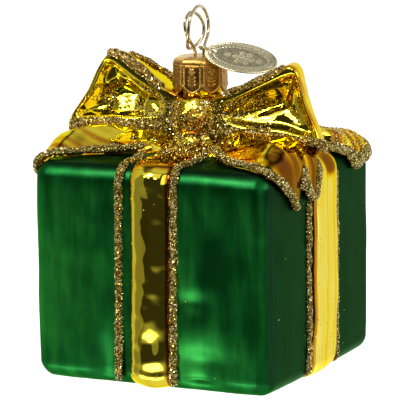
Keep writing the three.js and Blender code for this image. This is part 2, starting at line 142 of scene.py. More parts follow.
def catmull(pts, step, closed=False):
    """Points every step mm along a smooth curve through pts; extra columns are carried along."""
    P = np.asarray(pts, float)
    if closed:
        P = np.vstack([P[-1], P, P[:2]])
    else:
        P = np.vstack([2 * P[0] - P[1], P, 2 * P[-1] - P[-2]])
    out = []
    for i in range(1, len(P) - 2):
        p0, p1, p2, p3 = P[i - 1:i + 3]
        d = [max(1e-6, np.linalg.norm((b - a)[:3]) ** 0.5) for a, b in ((p0, p1), (p1, p2), (p2, p3))]
        t = np.linspace(0, 1, 24, endpoint=False)[:, None] * d[1]
        m1 = (p1 - p0) / d[0] - (p2 - p0) / (d[0] + d[1]) + (p2 - p1) / d[1]
        m2 = (p2 - p1) / d[1] - (p3 - p1) / (d[1] + d[2]) + (p3 - p2) / d[2]
        u = t / d[1]
        h = (2 * u ** 3 - 3 * u ** 2 + 1) * p1 + (u ** 3 - 2 * u ** 2 + u) * m1 * d[1] + (3 * u ** 2 - 2 * u ** 3) * p2 + (u ** 3 - u ** 2) * m2 * d[1]
        out.append(h)
    C = np.vstack(out + [P[-2][None]])
    s = np.concatenate([[0], np.cumsum(np.linalg.norm(np.diff(C[:, :3], axis=0), axis=1))])
    n = max(3, int(round(s[-1] / step)) + 1)
    q = np.linspace(0, s[-1], n)
    if closed:
        q = q[:-1]
    return np.stack([np.interp(q, s, C[:, k]) for k in range(C.shape[1])], 1)


def smooth_poly(pts, step=0.6):
    return [tuple(p) for p in catmull(pts, step, closed=True)]


def surface_net(f, lo, hi, h, rounds=4):
    """A closed quad mesh of f = 0, negative inside, with its vertices moved onto the surface."""
    lo, hi = np.array(lo, float), np.array(hi, float)
    n = np.ceil((hi - lo) / h).astype(int) + 1
    ax = [lo[i] + h * np.arange(n[i]) for i in range(3)]
    G = np.stack(np.meshgrid(*ax, indexing="ij"), -1).reshape(-1, 3)
    D = f(G).reshape(n)
    inside = D < 0
    sl = [(slice(0, -1), slice(1, None))] * 3
    total = sum(inside[sl[0][a], sl[1][b], sl[2][c]].astype(np.int8) for a in (0, 1) for b in (0, 1) for c in (0, 1))
    active = (total > 0) & (total < 8)
    idx = -np.ones(active.shape, np.int64)
    idx[active] = np.arange(active.sum())
    cells = np.argwhere(active)
    acc, cnt = np.zeros((len(cells), 3)), np.zeros(len(cells))
    corners = [(a, b, c) for a in (0, 1) for b in (0, 1) for c in (0, 1)]
    for i, a in enumerate(corners):
        for b in corners[i + 1:]:
            if sum(x != y for x, y in zip(a, b)) != 1:
                continue
            a_, b_ = np.array(a), np.array(b)
            da, db = D[tuple((cells + a_).T)], D[tuple((cells + b_).T)]
            hit = (da < 0) != (db < 0)
            t = np.where(hit, da / np.where(hit, da - db, 1), 0)
            acc += np.where(hit[:, None], a_ + t[:, None] * (b_ - a_), 0)
            cnt += hit
    V = lo + h * (cells + acc / cnt[:, None])
    quads = []
    for a, u, v in ((0, 1, 2), (1, 2, 0), (2, 0, 1)):
        A = [slice(1, -1)] * 3
        B = [slice(1, -1)] * 3
        A[a], B[a] = slice(0, -1), slice(1, None)
        s0, s1 = inside[tuple(A)], inside[tuple(B)]
        for first, flip in ((s0 & ~s1, False), (~s0 & s1, True)):
            e = np.argwhere(first)
            if not len(e):
                continue
            e[:, u] += 1
            e[:, v] += 1
            def cell(du, dv):
                c = e.copy()
                c[:, u] += du
                c[:, v] += dv
                return idx[tuple(c.T)]
            q = np.stack([cell(-1, -1), cell(0, -1), cell(0, 0), cell(-1, 0)], 1)
            quads.append(q[:, ::-1] if flip else q)
    F = np.vstack(quads)
    for _ in range(rounds):
        d, g = f(V), gradient(f, V)
        step = -(d / np.maximum((g * g).sum(1), 1e-3))[:, None] * g
        m = np.linalg.norm(step, axis=1)[:, None]
        V = V + step * np.minimum(1, 0.5 * h / np.maximum(m, 1e-9))
    return V, F


def gradient(f, P, e=0.02):
    g = np.zeros(P.shape)
    for i in range(3):
        s = np.zeros(3)
        s[i] = e
        g[:, i] = (f(P + s) - f(P - s)) / (2 * e)
    return g


# ------------------------------------------------------------------ materials
def material(name):
    m = bpy.data.materials.new(name)
    m.use_nodes = True
    nt = m.node_tree
    return m, nt, nt.nodes["Principled BSDF"]


def node(nt, kind, **props):
    n = nt.nodes.new(kind)
    for k, v in props.items():
        if k in n.inputs:
            n.inputs[k].default_value = v
        else:
            setattr(n, k, v)
    return n


def set_in(n, **values):
    for k, v in values.items():
        n.inputs[k.replace("_", " ")].default_value = v


def object_coords(nt, scale=1.0):
    """Object position in millimetres times scale."""
    t = nt.nodes.new("ShaderNodeTexCoord")
    m = nt.nodes.new("ShaderNodeMapping")
    s = 1000.0 * np.broadcast_to(np.asarray(scale, float), (3,))
    m.inputs["Scale"].default_value = tuple(s)
    nt.links.new(t.outputs["Object"], m.inputs["Vector"])
    return m.outputs["Vector"]


def noise(nt, coords, scale, detail=2.0, rough=0.5, distortion=0.0):
    n = nt.nodes.new("ShaderNodeTexNoise")
    set_in(n, Scale=scale, Detail=detail, Roughness=rough, Distortion=distortion)
    nt.links.new(coords, n.inputs["Vector"])
    return n.outputs["Fac"]


def ramp(nt, fac, stops):
    r = nt.nodes.new("ShaderNodeValToRGB")
    el = r.color_ramp.elements
    while len(el) < len(stops):
        el.new(0.5)
    for e, (p, c) in zip(el, stops):
        e.position, e.color = p, (*c, 1.0) if len(c) == 3 else c
    nt.links.new(fac, r.inputs["Fac"])
    return r.outputs["Color"]


def maprange(nt, fac, a, b, c, d, smooth=False):
    m = nt.nodes.new("ShaderNodeMapRange")
    if smooth:
        m.interpolation_type = "SMOOTHSTEP"
    set_in(m, From_Min=a, From_Max=b, To_Min=c, To_Max=d)
    nt.links.new(fac, m.inputs["Value"])
    return m.outputs["Result"]


def math_node(nt, op, a, b=None):
    m = nt.nodes.new("ShaderNodeMath")
    m.operation = op
    for i, v in enumerate((a, b)):
        if v is None:
            continue
        if isinstance(v, (int, float)):
            m.inputs[i].default_value = v
        else:
            nt.links.new(v, m.inputs[i])
    return m.outputs[0]


def bump(nt, bsdf, height, strength, distance, previous=None):
    b = nt.nodes.new("ShaderNodeBump")
    b.inputs["Strength"].default_value = strength
    b.inputs["Distance"].default_value = distance
    nt.links.new(height, b.inputs["Height"])
    if previous is not None:
        nt.links.new(previous, b.inputs["Normal"])
    nt.links.new(b.outputs["Normal"], bsdf.inputs["Normal"])
    return b.outputs["Normal"]


def green_lacquer():
    m, nt, b = material("green_lacquer")
    mm = object_coords(nt)
    tall = object_coords(nt, (1.0, 1.0, 0.16))
    cloud = noise(nt, mm, 0.05, 3, 0.55)
    streak = noise(nt, tall, 0.3, 4, 0.6)
    mix = math_node(nt, "ADD", math_node(nt, "MULTIPLY", cloud, 0.65), math_node(nt, "MULTIPLY", streak, 0.35))
    # painted shade and glow: the box's own layer darkens or lightens the green in places
    painted_shade_glow = nt.nodes.new("ShaderNodeAttribute")
    painted_shade_glow.attribute_name = "painted_shade_glow"
    mix = math_node(nt, "SUBTRACT", mix, math_node(nt, "MULTIPLY", painted_shade_glow.outputs["Fac"], 0.16))
    front = ramp(nt, mix, [(0.34, (0.003, 0.078, 0.013)), (0.5, (0.010, 0.172, 0.026)), (0.64, (0.026, 0.300, 0.040))])
    side = ramp(nt, mix, [(0.34, (0.006, 0.027, 0.010)), (0.5, (0.009, 0.042, 0.015)), (0.66, (0.012, 0.060, 0.021))])
    # painted shade: the two ribbonless sides and the top get a darker copy of the green lacquer
    t = nt.nodes.new("ShaderNodeTexCoord")
    sep = nt.nodes.new("ShaderNodeSeparateXYZ")
    nt.links.new(t.outputs["Normal"], sep.inputs[0])
    nx = maprange(nt, math_node(nt, "ABSOLUTE", sep.outputs[0]), 0.55, 0.9, 0, 1, True)
    nz = maprange(nt, sep.outputs[2], 0.55, 0.85, 0, 1, True)
    side_shade_mix = nt.nodes.new("ShaderNodeMix")
    side_shade_mix.data_type = "RGBA"
    nt.links.new(math_node(nt, "MAXIMUM", nx, nz), side_shade_mix.inputs["Factor"])
    nt.links.new(front, side_shade_mix.inputs[6])
    nt.links.new(side, side_shade_mix.inputs[7])
    nt.links.new(side_shade_mix.outputs[2], b.inputs["Base Color"])
    rough = maprange(nt, streak, 0.3, 0.7, 0.34, 0.42)
    nt.links.new(rough, b.inputs["Roughness"])
    set_in(b, Metallic=1.0, Coat_Weight=0.10, Coat_Roughness=0.25, Coat_IOR=1.4)
    b.inputs["Specular Tint"].default_value = (0.2, 0.55, 0.25, 1.0)
    n1 = bump(nt, b, streak, 0.22, 0.0002)
    bump(nt, b, noise(nt, mm, 1.6, 2), 0.10, 0.00006, n1)
    return m


def gold_lacquer(name="gold_lacquer", pale=(0.84, 0.70, 0.052)):
    """Mirror-bright gold; the amber_and_shade layer says how brown it is made: brown-tinted lacquer, and painted shade
    in places.
    """
    m, nt, b = material(name)
    mm = object_coords(nt)
    a = nt.nodes.new("ShaderNodeAttribute")
    a.attribute_name = "amber_and_shade"
    cloud = noise(nt, mm, 0.12, 3, 0.6)
    f = math_node(nt, "ADD", a.outputs["Fac"], math_node(nt, "MULTIPLY", math_node(nt, "SUBTRACT", cloud, 0.5), 0.22))
    col = ramp(nt, f, [(0.0, pale), (0.18, (0.82, 0.62, 0.035)), (0.5, (0.56, 0.27, 0.014)), (0.8, (0.30, 0.095, 0.008)), (1.0, (0.15, 0.045, 0.006))])
    nt.links.new(col, b.inputs["Base Color"])
    pits = noise(nt, mm, 1.3, 3, 0.6)
    nt.links.new(maprange(nt, pits, 0.35, 0.8, 0.02, 0.06), b.inputs["Roughness"])
    set_in(b, Metallic=1.0, Coat_Weight=0.06, Coat_Roughness=0.015, Coat_IOR=1.4)
    b.inputs["Specular Tint"].default_value = (0.95, 0.80, 0.30, 1.0)
    bump(nt, b, noise(nt, mm, 0.22, 1, 0.4, 0.3), 0.22, 0.0008)
    return m


def glitter_glue(name, stops):
    """The glue between the flakes: brown-gold, full of fine grains."""
    m, nt, b = material(name)
    mm = object_coords(nt)
    v = nt.nodes.new("ShaderNodeTexVoronoi")
    v.inputs["Scale"].default_value = 3.4
    nt.links.new(mm, v.inputs["Vector"])
    grain = nt.nodes.new("ShaderNodeSeparateColor")
    nt.links.new(v.outputs["Color"], grain.inputs[0])
    col = ramp(nt, grain.outputs[0], stops)
    nt.links.new(col, b.inputs["Base Color"])
    nt.links.new(maprange(nt, grain.outputs[1], 0, 1, 0.22, 0.6), b.inputs["Roughness"])
    set_in(b, Metallic=0.85)
    n1 = bump(nt, b, grain.outputs[2], 0.9, 0.00025)
    bump(nt, b, noise(nt, mm, 1.1, 3), 0.4, 0.0003, n1)
    return m


def glitter_flake():
    m, nt, b = material("glitter_flake")
    a = nt.nodes.new("ShaderNodeAttribute")
    a.attribute_name = "tint"
    col = ramp(nt, a.outputs["Fac"], [(0.0, (0.11, 0.066, 0.006)), (0.35, (0.46, 0.32, 0.038)), (0.7, (0.90, 0.71, 0.17)), (0.86, (1.0, 0.89, 0.48)), (1.0, (1.0, 0.96, 0.70))])
    nt.links.new(col, b.inputs["Base Color"])
    nt.links.new(maprange(nt, a.outputs["Fac"], 0, 1, 0.22, 0.08), b.inputs["Roughness"])
    # the palest grains scatter light, the rest mirror it
    nt.links.new(maprange(nt, a.outputs["Fac"], 0.78, 0.92, 1.0, 0.5), b.inputs["Metallic"])
    return m


def cap_metal():
    m, nt, b = material("cap_bronze")
    mm = object_coords(nt)
    cloud = noise(nt, mm, 0.35, 3, 0.6)
    geo = nt.nodes.new("ShaderNodeNewGeometry")
    point = maprange(nt, geo.outputs["Pointiness"], 0.46, 0.56, 0.0, 1.0)
    sep = nt.nodes.new("ShaderNodeSeparateXYZ")
    nt.links.new(geo.outputs["Normal"], sep.inputs[0])
    # painted highlight: faces turned upwards are made lighter
    painted_top_light = maprange(nt, sep.outputs[2], 0.5, 0.95, 0.0, 0.26, True)
    f = math_node(nt, "ADD", math_node(nt, "MULTIPLY", cloud, 0.55), math_node(nt, "MULTIPLY", point, 0.45))
    f = math_node(nt, "ADD", f, painted_top_light)
    col = ramp(nt, f, [(0.2, (0.17, 0.075, 0.011)), (0.5, (0.47, 0.25, 0.046)), (0.8, (0.80, 0.52, 0.15)), (1.0, (0.98, 0.80, 0.44))])
    nt.links.new(col, b.inputs["Base Color"])
    nt.links.new(maprange(nt, cloud, 0.3, 0.7, 0.24, 0.38), b.inputs["Roughness"])
    set_in(b, Metallic=1.0)
    bump(nt, b, noise(nt, mm, 3.0, 3), 0.25, 0.00005)
    return m


def plain_metal(name, low, high, r0, r1, grain=2.0, strength=0.12):
    m, nt, b = material(name)
    mm = object_coords(nt)
    n = noise(nt, mm, grain, 3, 0.6)
    nt.links.new(ramp(nt, n, [(0.3, low), (0.7, high)]), b.inputs["Base Color"])
    nt.links.new(maprange(nt, n, 0.3, 0.7, r0, r1), b.inputs["Roughness"])
    set_in(b, Metallic=1.0)
    bump(nt, b, noise(nt, mm, grain * 2.2, 2), strength, 0.00004)
    return m


GREEN = green_lacquer()
GOLD = gold_lacquer()
# painted highlight: a paler, whiter copy of the gold lacquer for the side bands
GOLD_SIDE_LIT = gold_lacquer("gold_lacquer_side_lit", (0.84, 0.72, 0.15))
GLUE = glitter_glue("glitter_glue", [(0.0, (0.030, 0.020, 0.003)), (0.45, (0.115, 0.082, 0.010)), (0.8, (0.32, 0.24, 0.04)), (1.0, (0.80, 0.68, 0.28))])
GLUE_BROWN = glitter_glue("glitter_glue_brown", [(0.0, (0.055, 0.022, 0.003)), (0.45, (0.20, 0.095, 0.010)), (0.8, (0.42, 0.24, 0.03)), (1.0, (0.85, 0.66, 0.22))])
FLAKE = glitter_flake()
BRONZE = cap_metal()
WIRE = plain_metal("wire_brass", (0.40, 0.33, 0.17), (0.66, 0.58, 0.36), 0.08, 0.16, 1.2)
PALE = plain_metal("charm_pale", (0.64, 0.56, 0.33), (0.90, 0.81, 0.52), 0.20, 0.30, 1.5, 0.2)


# ------------------------------------------------------------------ box surface
uneven = waves(11, 10, 14.0, 34.0)
fine_uneven = waves(12, 10, 5.0, 11.0)


def pillow(P, N):
    """How far the green glass stands proud (+) or falls back (-) of the plain rounded box."""
    x, y, z = P[:, 0], P[:, 1], P[:, 2] - H / 2
    nx, ny, nz = np.abs(N).T
    def side(u, a, k=0.3):
        return -k * np.abs(np.clip(u / a, -1, 1)) ** 5
    def lobes(u, a):
        t = np.clip(np.abs(u) / a, 0, 1)
        return 0.26 * np.sin(np.pi * t) - 0.26 * (1 - t) ** 6
    d = nx * (side(y, HY) + side(z, H / 2) + lobes(y, HY)) + ny * (side(x, HX) + side(z, H / 2) + lobes(x, HX)) + nz * (side(x, HX) + side(y, HY))
    # the soft hollows and the lower bulge of the front panels, left by the blowing
    zz, front = P[:, 2], np.clip(-N[:, 1], 0, 1) ** 2
    d = d - front * 0.85 * np.exp(-((zz - 22.6) / 2.6) ** 2 - ((x - 12.6) / 4.2) ** 2)
    d = d - front * 0.55 * np.exp(-((zz - 8.2) / 2.4) ** 2 - ((x - 15.5) / 6.0) ** 2)
    d = d - front * 0.38 * smoothstep(44.0, 58.0, zz) ** 1.5
    d = d - front * 2.7 * np.exp(-((x - 13.5) / 7.0) ** 2) * smoothstep(17.0, -3.0, zz)
    d = d - front * 1.7 * np.exp(-((x + 12.0) / 4.0) ** 2) * smoothstep(18.0, 0.0, zz)
    return d + 0.055 * uneven(P) + 0.012 * fine_uneven(P)


def rounded(P):
    """Sharp box points moved onto the rounded box, with their normals."""
    c = np.array([0, 0, (H + Z0) / 2])
    half = np.array([HX - R, HY - R, (H - Z0) / 2 - R])
    q = P - c
    inner = np.clip(q, -half, half)
    d = q - inner
    N = d / np.linalg.norm(d, axis=1)[:, None]
    return inner + R * N + c, N


def box_body():
    def lines(a, b, step=1.0, edge=12):
        t = np.tan(np.linspace(0, np.pi / 4, edge)) * R
        n = int(round((b - a - 2 * R) / step))
        return np.concatenate([a + (R - t[::-1]), np.linspace(a + R, b - R, n + 1)[1:-1], b - R + t])
    X, Y, Z = lines(-HX, HX), lines(-HY, HY), lines(Z0, H)
    V, F, seen = [], [], {}
    def vid(p):
        k = tuple(np.round(p, 4))
        if k not in seen:
            seen[k] = len(V)
            V.append(p)
        return seen[k]
    def face(A, B, make, flip):
        ids = np.array([[vid(make(a, b)) for b in B] for a in A])
        q = np.stack([ids[:-1, :-1], ids[1:, :-1], ids[1:, 1:], ids[:-1, 1:]], -1).reshape(-1, 4)
        F.append(q[:, ::-1] if flip else q)
    face(X, Z, lambda a, b: (a, -HY, b), False)
    face(X, Z, lambda a, b: (a, HY, b), True)
    face(Y, Z, lambda a, b: (HX, a, b), False)
    face(Y, Z, lambda a, b: (-HX, a, b), True)
    face(X, Y, lambda a, b: (a, b, H), False)
    face(X, Y, lambda a, b: (a, b, Z0), True)
    P, N = rounded(np.array(V, float))
    P = P + N * pillow(P, N)[:, None]
    x, z = P[:, 0], P[:, 2]
    # painted shade and glow for the green: darker over the right of the right panel, at the far right and along the
    # top, lighter in soft glows low on both front panels and high on the right panel
    painted_shade_glow = 0.85 * np.exp(-((x - 22.0) / 7.0) ** 2 - ((z - 31.0) / 13.0) ** 2) + 0.55 * smoothstep(25.0, 31.0, x)
    painted_shade_glow = painted_shade_glow + 0.9 * smoothstep(49.0, 53.5, z) - 0.5 * np.exp(-((x - 14.0) / 9.0) ** 2 - ((z - 43.0) / 6.0) ** 2) - 1.0 * np.exp(-((x - 13.0) / 5.5) ** 2 - ((z - 6.0) / 6.0) ** 2)
    painted_shade_glow = painted_shade_glow - 0.5 * np.exp(-((x + 11.5) / 3.0) ** 2 - ((z - 9.0) / 8.0) ** 2)
    return mesh_object("box_green", P, F, GREEN, layers={"painted_shade_glow": painted_shade_glow})


# ------------------------------------------------------------------ ribbon bands
def band_loop(half, height, n_edge=14, step=0.9):
    """Once round the box in a vertical plane: (u, z) with outward normals."""
    pts, nor = [], []
    u, top = half - R, H - R
    def run(a, b, n):
        L = math.hypot(b[0] - a[0], b[1] - a[1])
        k = max(2, int(L / step))
        for i in range(k):
            t = i / k
            pts.append((a[0] + (b[0] - a[0]) * t, a[1] + (b[1] - a[1]) * t))
            nor.append(n)
    def arc(c, a0):
        for i in range(n_edge):
            t = a0 - (i / n_edge) * math.pi / 2
            pts.append((c[0] + R * math.cos(t), c[1] + R * math.sin(t)))
            nor.append((math.cos(t), math.sin(t)))
    run((-half, R), (-half, top), (-1, 0))
    arc((-u, top), math.pi)
    run((-u, H), (u, H), (0, 1))
    arc((u, top), math.pi / 2)
    run((half, top), (half, R), (1, 0))
    arc((u, R), 0)
    run((u, 0), (-u, 0), (0, -1))
    arc((-u, R), -math.pi / 2)
    return np.array(pts), np.array(nor)


def ribbon_band(name, axis, half, w_lo, w_hi, seed, lean=0.0, power=2.1):
    """axis 0: the band lies round the front, top and back; axis 1: round the two sides."""
    L, Nn = band_loop(half, H)
    wob = waves(seed, 8, 9.0, 26.0)
    roll = waves(seed + 5, 12, 7.0, 20.0)
    ragged = waves(seed + 9, 14, 2.6, 7.0)
    t = np.linspace(-1, 1, 41)
    t = np.sign(t) * np.abs(t) ** 0.8
    prof = (1 - np.abs(t) ** power) ** (1 / 1.9)
    V, amber_and_shade = [], []
    for (u, z), (nu, nz) in zip(L, Nn):
        relief = 1.8 + (1.1 - 1.8) * max(0, nz) ** 2 + (0.8 - 1.8) * max(0, -nz) ** 2
        mid = np.array([[0, u, z]]) if axis == 0 else np.array([[u, 0, z]])
        shift = lean * (z - 28.0)
        w0, w1 = w_lo + shift + 0.12 * wob(mid + 40)[0], w_hi + shift + 0.12 * wob(mid - 60)[0]
        if axis == 0:
            # it spreads on the top, towards the knot
            wide = max(0.0, nz) ** 2 * smoothstep(HY + 0.5 - R, HY - 8.5, abs(u))
            w0, w1 = w0 - 2.6 * wide, w1 + 1.0 * wide
        w = (w0 + w1) / 2 + t * (w1 - w0) / 2
        if axis == 0:
            P = np.stack([w, np.full_like(w, u), np.full_like(w, z)], 1)
            N = np.tile([0, nu, nz], (len(w), 1))
        else:
            P = np.stack([np.full_like(w, u), w, np.full_like(w, z)], 1)
            N = np.tile([nu, 0, nz], (len(w), 1))
        low = smoothstep(20.0, -2.0, z) * abs(nu) ** 2
        calm = 1.0 - 0.8 * math.exp(-((z - 26.0) / 9.0) ** 2) if axis == 0 else 1.0
        lift = relief * prof - 0.55 * (1 - prof) + (0.10 * calm * roll(P) + 0.03 * wob(P) + (0.045 if axis == 0 else 0.012) * ragged(P)) * prof - 1.1 * low * prof
        if axis == 0:
            for x0, z0, sx, sz, dent in ((0.7, 11.2, 2.3, 3.0, 0.76), (1.0, 4.4, 2.2, 1.7, 0.40), (0.8, 46.0, 1.6, 2.6, 0.10), (-1.8, 39.0, 1.5, 2.4, 0.08)):
                lift = lift - dent * np.exp(-((w - x0) / sx) ** 2 - ((z - z0) / sz) ** 2) * abs(nu)
        V.append(np.vstack([P + N * lift[:, None], (P - 1.3 * N)[::-1]]))
        # painted shade: browner on the top of the box under the bow, and along the band's edges beside the glitter
        # lines
        top = smoothstep(0.55, 0.95, nz) * (0.62 + 0.25 * wob(P * 1.7 + 5)) if axis == 0 else 0.25 * smoothstep(0.3, 0.9, nz)
        edge = 0.0 * t
        if axis == 0:
            edge = 0.30 * smoothstep(0.86, 0.99, -t) + 0.74 * smoothstep(0.76, 0.84, t) + 0.22 * np.clip(wob(P * np.array([2.0, 1, 0.5]) + 7), 0, 2)
        if axis == 1:
            # an orange line along the front edge, fine streaks, and a brown patch at the top
            edge = 0.55 * smoothstep(0.76, 0.84, -t) + 0.11 * np.clip(wob(P * np.array([1, 9.0, 0.25])), 0, 2)
            edge = edge + 2.4 * np.exp(-((w - 1.8) / 2.3) ** 2 - ((z - 53.9) / 1.7) ** 2) * (nu > 0)
        a_ = np.clip(top + edge, 0, 1) * np.ones(len(t))
        amber_and_shade += [a_, a_[::-1]]
    n, m = len(V), len(V[0])
    return mesh_object(name, np.vstack(V), [grid_faces(n, m, True, True, flip=(axis == 0))], GOLD if axis == 0 else GOLD_SIDE_LIT, layers={"amber_and_shade": np.concatenate(amber_and_shade)})


# ------------------------------------------------------------------ ribbon tails
def wrap(s, y, h, sign):
    """Distance s from the middle along the top and on down a side face; h above the glass."""
    flat, th = HX - R, (s - (HX - R)) / R
    th = np.clip(th, 0, np.pi / 2)
    down = np.maximum(0, s - flat - ROOT)
    nx, nz = np.sin(th), np.cos(th)
    x = np.minimum(s, flat) + (R + h) * nx
    z = (H - R) + (R + h) * nz - down
    x = np.where(s <= flat, s, x)
    return np.stack([sign * x, y, z], -1), np.stack([sign * nx, np.zeros_like(nx), nz], -1)


TAIL_FR = [(5.0, -5.0), (9.1, -12.2), (13.2, -18.2), (18.7, -23.2), (24.0, -26.0), (28.5, -29.0), (32.6, -29.6), (34.6, -27.2),
           (36.2, -24.4), (38.4, -21.6), (40.6, -19.6), (42.4, -17.6), (41.2, -16.0), (38.2, -15.2), (35.8, -14.4), (33.8, -13.4),
           (35.6, -12.6), (38.0, -11.6), (40.2, -9.6), (40.7, -8.0), (39.6, -6.2), (37.0, -5.2), (33.8, -4.4), (29.0, -2.6), (16.0, -1.4), (5.0, -2.0)]
TAIL_FL = [(5.0, -5.0), (10.0, -13.6), (15.0, -16.0), (20.5, -17.9), (26.0, -21.8), (30.5, -27.0), (33.0, -28.6), (35.0, -27.0),
           (37.0, -24.4), (39.6, -21.6), (42.4, -19.0), (43.6, -17.4), (42.0, -16.0), (38.4, -15.4), (35.8, -14.6), (33.8, -13.2),
           (35.6, -12.0), (38.0, -10.6), (40.2, -8.2), (40.7, -6.2), (39.6, -3.4), (37.0, -2.0), (33.8, -1.6), (29.0, -1.4), (16.0, -1.4), (5.0, -2.0)]
TAIL_BK = [(5.0, 4.0), (14.0, 4.0), (22.0, 5.6), (28.5, 8.2), (31.0, 11.0), (32.2, 13.8), (33.2, 16.4), (34.5, 17.8), (35.5, 19.2), (35.9, 20.6),
           (35.5, 22.2), (35.3, 24.0), (35.0, 26.0), (34.6, 27.6), (32.8, 27.8), (29.6, 26.4), (23.0, 21.5), (13.0, 13.5), (7.0, 9.5)]
tail_wave = waves(21, 9, 4.5, 13.0)
tail_long = waves(22, 6, 12.0, 30.0)


def tail_height(s, y, d, u, front, sign):
    """Height of a tail above the glass; d is how far inside its outline a point is, u how far from its front edge."""
    if front:
        rise = np.clip(u - 1.2, 0, 9)
        crown = 1.3 + (0.50 if sign > 0 else 0.58) * rise * smoothstep(36.0 if sign > 0 else 40.0, 27.0, s) + 1.2 * smoothstep(20.0, 8.0, s)
    else:
        near = smoothstep(27.0, 6.0, y) * smoothstep(40.0, 24.0, s)
        crown = 1.5 + 3.2 * near + 2.4 * smoothstep(36.0, 28.0, s)
    # folds that run from the bow out to the cut ends
    P = np.stack([s * 0.35, y * 1.0, np.full_like(s, 7.0 * sign)], -1)
    ripple = 0.10 * tail_wave(P.reshape(-1, 3)).reshape(s.shape) + 0.17 * tail_long(P.reshape(-1, 3) * 0.8).reshape(s.shape)
    edge = np.clip(d / 1.5, 0, 1)
    profile = np.sqrt(np.clip(1 - (1 - edge) ** 2, 0, 1))
    return (crown + ripple) * profile


def tail_amber_and_shade(s, y, u, sign, front):
    """How brown a tail is made: lacquer streaks that run along it, and on the right front and back tails painted shade
    where the end drops down the side face.
    """
    Q = np.stack([s * 0.16, y * 1.0, np.full_like(s, 3.0 * sign)], -1).reshape(-1, 3)
    st = tail_wave(Q * 1.15 + 20).reshape(s.shape) * 0.45 + tail_wave(Q * 2.6 - 11).reshape(s.shape) * 0.55
    if not front:
        # painted shade: darker where the back tails drop down the side face
        return np.clip(0.40 + 0.34 * st + 0.20 * smoothstep(29, 35, s), 0, 1)
    if sign > 0:
        # red-brown, darker with painted shade where it drops down the side, with one yellow stroke along it and thin
        # yellow threads in the forked end
        base = 0.52 + 0.56 * smoothstep(27, 33, s) - 0.50 * np.exp(-((u - 6.2) / 1.3) ** 2) * smoothstep(33, 25, s)
        thread = np.exp(-(tail_wave(Q * np.array([1.3, 1.7, 1.0]) + 40).reshape(s.shape) / 0.24) ** 2)
        return np.clip(base + 0.34 * st - 0.58 * thread * smoothstep(12, 29, s), 0, 1)
    base = 0.04 + 0.42 * smoothstep(-4.5 - 0.28 * s, -9.0 - 0.42 * s, y)
    return np.clip(base + 0.20 * st, 0, 1)


def tail(name, outline, sign, front):
    poly = smooth_poly(outline, 0.7)
    P = np.array(poly)
    lo, hi = P.min(0) - 1.0, P.max(0) + 1.0
    h = 0.34
    S, Y = np.arange(lo[0], hi[0], h), np.arange(lo[1], hi[1], h)
    A, B = np.meshgrid(S, Y, indexing="ij")
    d = -poly_sd(A.ravel(), B.ravel(), poly).reshape(A.shape)
    # vertices just outside slide onto the outline, so the rim is a clean line
    gx, gy = np.gradient(d, h)
    g = np.hypot(gx, gy) + 1e-9
    out = (d < 0) & (d > -1.5 * h)
    A2, B2 = np.where(out, A - d * gx / g, A), np.where(out, B - d * gy / g, B)
    keep = d > -1.5 * h
    quad = keep[:-1, :-1] & keep[1:, :-1] & keep[1:, 1:] & keep[:-1, 1:]
    solid = (d[:-1, :-1] > 0) | (d[1:, :-1] > 0) | (d[1:, 1:] > 0) | (d[:-1, 1:] > 0)
    quad &= solid
    # the front edge's y at each s, between samples and evened out
    row, j = np.arange(len(S)), np.argmax(d > 0, axis=1)
    d1, d0 = d[row, j], d[row, np.maximum(j - 1, 0)]
    rim_y = Y[j] - h * d1 / np.maximum(d1 - d0, 1e-6)
    has = (d > 0).any(1)
    rim_y = np.interp(S, S[has], rim_y[has])
    rim_y = np.convolve(np.pad(rim_y, 8, mode="edge"), np.hanning(19)[1:-1] / np.hanning(19).sum(), "valid")
    u = B2 - rim_y[:, None]
    height = np.where(out, -0.25, tail_height(A2, B2, np.maximum(d, 0), u, front, sign))
    top, _ = wrap(A2, B2, height, sign)
    bottom, _ = wrap(A2, B2, np.full_like(A2, -1.1), sign)
    idx = np.arange(A.size).reshape(A.shape)
    q = np.stack([idx[:-1, :-1], idx[1:, :-1], idx[1:, 1:], idx[:-1, 1:]], -1)[quad]
    flip = sign < 0
    n = A.size
    F = [q[:, ::-1] if flip else q, (q if flip else q[:, ::-1]) + n]
    # wall round the rim
    e = np.concatenate([q[:, [0, 1]], q[:, [1, 2]], q[:, [2, 3]], q[:, [3, 0]]])
    key = {(a, b) for a, b in e.tolist()}
    rim = np.array([(a, b) for a, b in e.tolist() if (b, a) not in key])
    wall = np.stack([rim[:, 1], rim[:, 0], rim[:, 0] + n, rim[:, 1] + n], 1)
    F.append(wall[:, ::-1] if flip else wall)
    V = np.vstack([top.reshape(-1, 3), bottom.reshape(-1, 3)])
    used = np.unique(np.concatenate([f.ravel() for f in F]))
    remap = -np.ones(len(V), int)
    remap[used] = np.arange(len(used))
    amber_and_shade = tail_amber_and_shade(A2, B2, u, sign, front).ravel()
    return mesh_object(name, V[used], [remap[f] for f in F], GOLD, layers={"amber_and_shade": np.concatenate([amber_and_shade, amber_and_shade])[used]})


